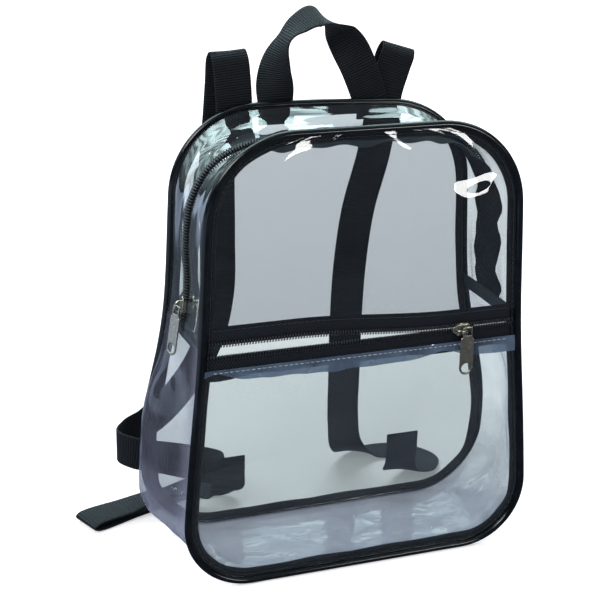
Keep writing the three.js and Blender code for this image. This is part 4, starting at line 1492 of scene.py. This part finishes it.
@dataclass
class Edges:
    """Piping round both panels, the bound seams inside, and their stitches."""

    form: BagForm
    finishes: Finishes
    binding_width: float = 5.4
    binding_thick: float = 1.2
    binding_near: float = 1.9
    flange_start: float = 3.6
    flange_width: float = 4.4
    stitch_inset: float = 6.9
    stitch_off: float = 0.3
    cord_sides: int = 18

    def cord(self, n: int, inward: int) -> list[Flat]:
        """Draws the piping's section, pinched at its flange.

        Args:
            n: the knot's number.
            inward: not used.

        Returns:
            Its points, as inset and depth.
        """
        radius, section = self.form.piping / 2, []
        girth = radius * (1 + 0.02 * noise.noise(Vector((n * 0.35, 0, radius))))
        for angle in (2 * math.pi * j / self.cord_sides for j in range(self.cord_sides)):
            pinch = 1 - 0.1 * max(0.0, math.cos(angle)) ** 3
            section.append((radius + girth * pinch * math.cos(angle), girth * math.sin(angle)))
        return section

    def flange(self, n: int, inward: int) -> list[Flat]:
        """Returns the section of the piping's flat flange, which shows through the panel's edge."""
        width = self.flange_width + 0.25 * noise.noise(Vector((n * 0.21, 3.0, inward)))
        return [(self.flange_start + width * t, inward * (0.35 + 0.35 * t)) for t in (0.0, 0.35, 0.7, 1.0)]

    def binding(self, n: int, inward: int) -> list[Flat]:
        """Draws the folded binding tape's section.

        Args:
            n: the knot's number.
            inward: 1 at the front, -1 at the back.

        Returns:
            Its points, as inset and depth.
        """
        start = self.form.piping - self.form.gap
        wave = 0.7 * noise.noise(Vector((n * 0.16, 1.7, inward))) + 0.3 * math.sin(n * 0.5)
        bend, near, far = self.binding_thick / 2, self.binding_near, self.binding_near + self.binding_thick
        middle, end = start + (self.binding_width + wave) * 0.5, start + self.binding_width + wave
        folded = [(start, near), (middle, near - 0.1), (end - bend, near), (end, near + bend)]
        folded += [(end - bend, far), (middle, far + 0.1), (start, far)]
        return [(inset, inward * off) for inset, off in folded]

    def build(self) -> None:
        """Makes and dresses the edges."""
        form, finishes = self.form, self.finishes
        sides = (("front", form.front_plane, 1), ("back", form.back_plane, -1))
        for kind, section, closed, finish, slot, node_name in (
            ("piping_cord", self.cord, True, finishes.piping, "piping", "piping"),
            ("piping_flange", self.flange, False, finishes.piping, "piping", ""),
            ("binding", self.binding, True, finishes.tape, "tape", "seam_binding"),
        ):
            for side, plane, inward in sides:
                rows = [
                    [form.edge_point(knot, inset, plane(knot.z) + off) for inset, off in section(n, inward)]
                    for n, knot in enumerate(form.ring())
                ]
                piece = grid_object(f"{side}_{kind}", rows, round_rows=closed, round_all=True)
                dress(piece, finish, slot, [f"{side}_{node_name}"] if node_name else [])
        lines = []
        for _, plane, inward in sides:
            off, knots = -inward * self.stitch_off, form.ring()
            line = [form.edge_point(k, self.stitch_inset, plane(k.z) + off) for k in knots + knots[:1]]
            lines.append((line, TO_FRONT * inward))
        dress(Stitches("edge_stitches").build(lines), finishes.thread, "piping")


# Webbing


class Spot(NamedTuple):
    """A place on a strap's path, in shares of the bag's sizes.

    Wide is the way that the strap's width runs, over how far it stands clear of
    the piping, rise its height up the loop, behind how far back it lies, and
    layer how many straps it lies on.
    """

    across: float
    up: float
    wide: Triple = (1, 0, 0)
    over: float = 0
    rise: float = 0
    behind: float = 0
    layer: float = 0


BACKWARD = (-1, 0, 0)
DOWNWARD = (0, 0, -1)

# Across is a share of the handle's half span here, and the sewn ends are added by size
HANDLE = (
    Spot(-0.93, 0.966, BACKWARD, 0.2),
    Spot(-0.93, 0.981, BACKWARD, 1),
    Spot(-0.93, 0.998, BACKWARD, 1.3),
    Spot(-0.93, 1, (-0.6, 0.8, 0), 1.6, 0.4),
    Spot(-0.77, 1, (0, 1, 0), 1, 0.75),
    Spot(-0.5, 1, (0, 0.94, 0.3), 1, 0.91),
    Spot(-0.19, 1, (0, 0.9, 0.4), 1, 1),
    Spot(0.1, 1, (-0.05, 0.98, 0), 1, 0.92),
    Spot(0.31, 1, (-0.7, 0.6, 0), 1, 0.78),
    Spot(0.64, 1, (-1, 0.15, -0.1), 1, 0.43),
    Spot(0.92, 0.998, (-1, 0, -0.3), 1.15),
    Spot(0.97, 0.981, (-1, 0, -0.1), 1.15),
    Spot(1, 0.966, BACKWARD, 0.2),
)
LEFT_STRAP = (
    Spot(-0.505, 0.925),
    Spot(-0.505, 0.943, over=0.2),
    Spot(-0.505, 0.96, over=1),
    Spot(-0.505, 0.998, over=1.15),
    Spot(-0.515, 1, over=1, rise=0.5),
    Spot(-0.525, 1, over=1, rise=0.86, behind=0.02),
    Spot(-0.53, 1, (1, 0, 0.05), over=1, rise=0.98, behind=0.1),
    Spot(-0.535, 1, over=1, rise=0.84, behind=0.19),
    Spot(-0.54, 1, over=1, rise=0.35, behind=0.22),
    Spot(-0.555, 0.97, behind=0.24),
    Spot(-0.58, 0.86, behind=0.22),
    Spot(-0.58, 0.7, behind=0.22),
    Spot(-0.58, 0.55, behind=0.28),
    Spot(-0.62, 0.42, (0.95, 0.2, -0.25), behind=0.48),
    Spot(-0.74, 0.29, (0.6, 0.25, -0.75), behind=0.84),
    Spot(-0.92, 0.205, (0.15, 0.1, -1), behind=1),
    Spot(-1.07, 0.185, DOWNWARD, behind=0.9),
    Spot(-1.145, 0.184, DOWNWARD, behind=0.6),
    Spot(-1.08, 0.182, DOWNWARD, behind=0.32),
    Spot(-0.92, 0.17, DOWNWARD, behind=0.2),
    Spot(-0.68, 0.135, (0, -0.2, -1), behind=0.24),
    Spot(-0.5, 0.09, (0.2, -0.5, -0.8), behind=0.46),
    Spot(-0.48, 0.045, (0.5, -0.7, -0.4), behind=0.78),
    Spot(-0.62, 0.017, (0.2, -1, -0.1), behind=0.98),
    Spot(-0.84, 0.0075, (0.25, -1, 0), behind=0.86),
    Spot(-1.08, 0.0055, (0.35, -1, 0), behind=0.66),
    Spot(-1.34, 0.0055, (0.4, -1, 0), behind=0.42),
    Spot(-1.365, 0.0125, (0.4, -1, 0), behind=0.4),
    Spot(-1.33, 0.02, (0.4, -1, 0), behind=0.43),
    Spot(-1.1, 0.024, (0.2, -1, 0.05), behind=0.58),
    Spot(-0.9, 0.045, (-0.1, -1, 0.2), behind=0.56),
    Spot(-0.7, 0.056, (-0.5, -0.8, 0.1), behind=0.4),
    Spot(-0.58, 0.06, (-1, -0.2, 0), behind=0.17),
    Spot(-0.55, 0.08, BACKWARD, behind=0.05),
    Spot(-0.55, 0.11, BACKWARD, behind=0.01),
)
RIGHT_STRAP = (
    Spot(0.365, 0.925, layer=1),
    Spot(0.365, 0.943, over=0.4, layer=1),
    Spot(0.37, 0.965, (1, 0, -0.1), over=1, layer=1),
    Spot(0.38, 0.998, (1, 0, -0.15), over=1, behind=0.04, layer=1),
    Spot(0.43, 1, (1, 0, -0.25), over=1, rise=0.5, behind=0.12),
    Spot(0.46, 1, (1, 0, -0.3), over=1, rise=0.8, behind=0.14),
    Spot(0.47, 1, (1, 0, -0.3), over=1, rise=0.91, behind=0.21),
    Spot(0.455, 1, (1, 0, -0.3), over=1, rise=0.77, behind=0.28),
    Spot(0.425, 1, (1, 0, -0.25), over=1, rise=0.3, behind=0.3),
    Spot(0.395, 0.96, (1, 0, -0.22), over=1, behind=0.26),
    Spot(0.34, 0.86, (1, 0, -0.22), behind=0.22),
    Spot(0.255, 0.73, (1, 0, -0.2), behind=0.22),
    Spot(0.22, 0.6, (1, 0, -0.1), behind=0.26),
    Spot(0.22, 0.46, behind=0.36),
    Spot(0.25, 0.3, (1, 0, 0.05), behind=0.56),
    Spot(0.3, 0.15, (1, 0, 0.1), behind=0.86),
    Spot(0.38, 0.05, (1, -0.2, 0.1), behind=1.14),
    Spot(0.54, 0.011, (0.7, -0.8, 0), behind=1.34),
    Spot(0.76, 0.006, (-0.2, -1, 0), behind=1.26),
    Spot(0.86, 0.006, (-1, -0.2, 0), behind=0.9),
    Spot(0.78, 0.012, (-0.9, 0.5, 0), behind=0.56),
    Spot(0.65, 0.033, (-0.9, 0.4, 0.1), behind=0.34),
    Spot(0.57, 0.055, (-1, 0.2, 0), behind=0.17),
    Spot(0.55, 0.08, BACKWARD, behind=0.05),
    Spot(0.55, 0.11, BACKWARD, behind=0.01),
)


def smooth_path(points: Points, t: float) -> Vector:
    """Returns a place on the centripetal curve through points.

    Args:
        points: the points that it passes.
        t: from 0 at the first to 1 at the last.

    Returns:
        The place.
    """
    last = len(points) - 1
    i = min(int(last * t), last - 1)
    w = last * t - i
    p1, p2 = points[i], points[i + 1]
    p0 = points[i - 1] if i > 0 else p1 * 2 - p2
    p3 = points[i + 2] if i + 2 <= last else p2 * 2 - p1
    d0, d1, d2 = ((b - a).length ** 0.5 for a, b in ((p0, p1), (p1, p2), (p2, p3)))
    d1 = d1 if d1 > 1e-4 else 1.0
    d0, d2 = (d if d > 1e-4 else d1 for d in (d0, d2))
    t1 = ((p1 - p0) / d0 - (p2 - p0) / (d0 + d1) + (p2 - p1) / d1) * d1
    t2 = ((p2 - p1) / d1 - (p3 - p1) / (d1 + d2) + (p3 - p2) / d2) * d1
    c2 = p1 * -3 + p2 * 3 - t1 * 2 - t2
    c3 = p1 * 2 - p2 * 2 + t1 + t2
    return p1 + t1 * w + c2 * w * w + c3 * w * w * w


@dataclass
class Webbing:
    """Flat ribbed webbing that follows a table of places, as the part does."""

    form: BagForm
    finishes: Finishes
    width: float = 25.0
    thick: float = 1.5
    reach_behind: float = 50.0
    handle_rise: float = 54.0
    handle_span: float = 72.0
    loop_rise: float = 33.0
    sewn: float = 16.0
    foot: float = 0.11
    nudge: float = 0.0005
    steps: int = 12

    def place(self, spot: Spot, loop_rise: float) -> Vector:
        """Places a spot.

        Args:
            spot: the spot.
            loop_rise: how far the loop rises above the top.

        Returns:
            Its place in millimetres.
        """
        form = self.form
        z = spot.up * form.height + spot.rise * loop_rise
        sewn = form.vinyl / 2 + form.gap + self.thick / 2
        over = form.piping / 2 + form.gap + self.thick / 2
        step = sewn + (over - sewn) * spot.over + (self.thick + form.gap) * spot.layer
        y = form.back_plane(min(z, form.height)) + step + spot.behind * self.reach_behind
        return Vector((spot.across * form.width_bottom / 2, y, z))

    def strap(self, name: str, node_name: str, table: Sequence[Spot], loop_rise: float) -> None:
        """Makes a strap or handle.

        Args:
            name: the piece's name.
            node_name: the CAD node that it stands for.
            table: the spots on its path.
            loop_rise: the loop's height above the top.
        """
        centres = [self.place(spot, loop_rise) for spot in table]
        widths = [Vector(spot.wide) for spot in table]
        count = (len(table) - 1) * self.steps
        section, rows = self.section(), []
        for t in (i / count for i in range(count + 1)):
            at = smooth_path(centres, t)
            ahead = smooth_path(centres, min(1.0, t + self.nudge))
            behind = smooth_path(centres, max(0.0, t - self.nudge))
            along = (ahead - behind).normalized()
            wide = smooth_path(widths, t)
            wide = (wide - along * wide.dot(along)).normalized()
            out = along.cross(wide)
            rows.append([(at + wide * x + out * y) * MM for x, y in section])
        dress(grid_object(name, rows, round_rows=True), self.finishes.webbing, "webbing", [node_name])

    def section(self) -> list[Flat]:
        """Draws the webbing's flat section with its rounded selvedges.

        Returns:
            Its points.
        """
        half, thick = self.width / 2, self.thick / 2
        top = [(-half + 0.9 + (self.width - 1.8) * i / 10, thick) for i in range(11)]
        right = [(half - 0.25, thick * 0.62), (half, 0.0), (half - 0.25, -thick * 0.62)]
        return top + right + [(x, -y) for x, y in reversed(top)] + [(-x, y) for x, y in reversed(right)]

    def build(self) -> None:
        """Makes the handle and both straps."""
        share = self.sewn / self.form.height
        leg = self.handle_span / self.form.width_bottom
        ends = [HANDLE[i]._replace(up=1 - share, over=0) for i in (0, -1)]
        handle = [spot._replace(across=spot.across * leg) for spot in (ends[0], *HANDLE, ends[1])]
        self.strap("handle_webbing", "grab_handle", handle, self.handle_rise)
        for side, table in (("left", LEFT_STRAP), ("right", RIGHT_STRAP)):
            end = table[-1]._replace(up=self.foot + share, behind=0)
            self.strap(f"{side}_strap_webbing", f"shoulder_strap_{side}", [*table, end], self.loop_rise)


# Studio


@dataclass(frozen=True)
class Softbox:
    """A studio softbox that points at a place on the bag."""

    name: str
    place: Triple
    aim: Triple
    size: Flat
    power: float
    colour: Triple = (1.0, 1.0, 1.0)
    lights: bool = True
    glints: bool = True

    def build(self) -> None:
        """Makes the light."""
        light = bpy.data.lights.new(self.name, "AREA")
        light.shape = "RECTANGLE"
        light.size, light.size_y = self.size
        light.energy = self.power
        light.color = self.colour
        lamp = link(self.name, light)
        lamp.visible_diffuse = self.lights
        lamp.visible_glossy = self.glints
        lamp.location = self.place
        lamp.rotation_euler = (Vector(self.place) - Vector(self.aim)).to_track_quat("Z", "Y").to_euler()


@dataclass
class Studio:
    """A plain pale floor, soft light and the camera."""

    target: Triple = (-0.03232, -0.0025, 0.18199)
    azimuth: float = -19.91
    elevation: float = 20.08
    roll: float = 1.02
    distance: float = 0.91387
    lens: float = 83.22
    floor_half: float = 9.0
    softboxes: tuple[Softbox, ...] = (
        Softbox("key_left", (-1.3, -0.9, 1.5), (0, 0, 0.15), (1.0, 0.8), 24),
        Softbox("overhead", (0.1, 0.9, 1.9), (0, 0, 0.2), (1.6, 0.6), 24, (0.94, 0.98, 1.0), glints=False),
        Softbox("glint_card", (0.74, -1.42, 0.34), (0.08, 0, 0.26), (0.56, 0.25), 6.2, lights=False),
        Softbox("back_strip", (0.6, 2.3, 1.2), (0, 0, 0.3), (2.6, 0.1), 3.6, (0.85, 1.0, 0.98), lights=False),
    )

    def floor(self) -> None:
        """Makes the pale floor, which glows faintly as a lit sweep does."""
        material, tree = blank_material("pale_sweep")
        glossy = node(tree, "LightPath").outputs["Is Glossy Ray"]
        matt = node(tree, "BsdfDiffuse", {"Color": linear("#f4f5f6")})
        place = node(tree, "TexCoord").outputs["Object"]
        away = node(tree, "VectorMath", {"operation": "LENGTH"}, {0: place}).outputs["Value"]
        fade = {"From Min": 0.25, "From Max": 1.2, "To Min": 0.5, "To Max": 0.95}
        rise = node(tree, "MapRange", fade, {"Value": away})
        glow = node(tree, "Emission", {"Color": (1, 1, 1, 1)}, {"Strength": rise})
        lit = node(tree, "AddShader", {}, {0: matt, 1: glow})
        spot = node(tree, "SeparateXYZ", {}, {"Vector": place})
        # Painted light for reflections: glossy rays see the floor glow brighter behind the bag and far to its
        # left, and a dim blue elsewhere.
        edges = (("Y", 0.0, 0.15, 0.75), ("X", -0.22, -0.04, 1.0), ("X", -0.42, -0.6, 0.8))
        ramps = []
        for axis, start, end, most in edges:
            reach = {"From Min": start, "From Max": end, "To Max": most}
            ramps.append(node(tree, "MapRange", reach, {"Value": spot.outputs[axis]}))
        behind = node(tree, "Math", {"operation": "MULTIPLY"}, {0: ramps[0], 1: ramps[1]})
        beside = node(tree, "Math", {"operation": "MAXIMUM"}, {0: behind, 1: ramps[2]})
        mirrored = node(tree, "Math", {"operation": "ADD", 1: 0.11}, {0: beside})
        dim = node(tree, "Emission", {"Color": (0.62, 0.76, 1.0, 1)}, {"Strength": mirrored})
        mixed = node(tree, "MixShader", {}, {0: glossy, 1: lit, 2: dim})
        node(tree, "OutputMaterial", {}, {"Surface": mixed})
        ends = (-self.floor_half, self.floor_half)
        sweep = grid_object("floor_sweep", [[Vector((x, y, -0.0003)) for x in ends] for y in ends])
        sweep.data.materials.append(material)

    def world(self) -> None:
        """Sets the soft light of the room, and the patches of glare that the vinyl mirrors."""
        world = bpy.data.worlds.new("soft_room")
        world.use_nodes = True
        tree = world.node_tree
        tree.nodes.clear()
        room = node(tree, "Background", {"Color": (0.93, 0.96, 1.0, 1), "Strength": 0.36})
        ray = node(tree, "LightPath")
        way = node(tree, "TexCoord").outputs["Generated"]
        drawn = node(tree, "Mapping", {"Scale": (3, 1, 12)}, {"Vector": way})
        patches = node(tree, "TexNoise", {"Scale": 1.3, "Detail": 1.0}, {"Vector": drawn})
        split = node(tree, "SeparateXYZ", {}, {"Vector": way})
        limits = ("From Min", "From Max", "To Min", "To Max")
        contrast, back, band, crown = (
            node(tree, "MapRange", dict(zip(limits, values)), {"Value": source})
            for source, *values in (
                (patches.outputs["Fac"], 0.38, 0.6, 0.3, 1.5),
                (split.outputs["Y"], -0.15, 0.4, 0.08, 1.0),
                (split.outputs["Z"], 0.08, 0.24, 0.1, 1.0),
                (split.outputs["Z"], 0.4, 0.75, 1.0, 5.0),
            )
        )
        glare = band
        for factor in (crown, back, contrast):
            glare = node(tree, "Math", {"operation": "MULTIPLY"}, {0: glare, 1: factor})
        mirrored = node(tree, "Background", {"Color": (0.7, 0.93, 0.95, 1)}, {"Strength": glare})
        white = node(tree, "Background", {"Color": (1, 1, 1, 1), "Strength": 1.0})
        lit = node(tree, "MixShader", {}, {0: ray.outputs["Is Glossy Ray"], 1: room, 2: mirrored})
        seen = node(tree, "MixShader", {}, {0: ray.outputs["Is Camera Ray"], 1: lit, 2: white})
        node(tree, "OutputWorld", {}, {"Surface": seen})
        bpy.context.scene.world = world

    def camera(self) -> None:
        """Places the camera where the photograph was taken from."""
        a, e, r = (math.radians(v) for v in (self.azimuth, self.elevation, self.roll))
        back = Vector((math.sin(a) * math.cos(e), -math.cos(a) * math.cos(e), math.sin(e)))
        right = Vector((math.cos(a), math.sin(a), 0))
        up = back.cross(right)
        rolled_right = right * math.cos(r) + up * math.sin(r)
        rolled_up = up * math.cos(r) - right * math.sin(r)
        lens = bpy.data.cameras.new("camera")
        lens.lens = self.lens
        lens.sensor_width = 36
        lens.sensor_fit = "HORIZONTAL"
        lens.clip_start = 0.01
        camera = link("camera", lens)
        camera.matrix_world = basis(rolled_right, rolled_up, back, Vector(self.target) + back * self.distance)
        bpy.context.scene.camera = camera

    def build(self) -> None:
        """Makes the whole studio."""
        self.camera()
        self.floor()
        self.world()
        for softbox in self.softboxes:
            softbox.build()
        scene = bpy.context.scene
        scene.view_settings.view_transform = "Standard"
        scene.cycles.transparent_max_bounces = 32
        scene.cycles.max_bounces = 14
        scene.cycles.caustics_reflective = False


def main() -> None:
    """Builds the studio and every piece of the bag."""
    logging.basicConfig(level=logging.INFO, format="%(message)s")
    Studio().build()
    form = BagForm()
    finishes = Finishes()
    hardware = Hardware(finishes)
    panels = Panels(form, finishes)
    panels.build()
    Gusset(form, finishes).build()
    MainZip(form, finishes, hardware).build()
    Edges(form, finishes).build()
    PocketZip(form, finishes, hardware, panels).build()
    Webbing(form, finishes).build()


if __name__ == "__main__":
    main()
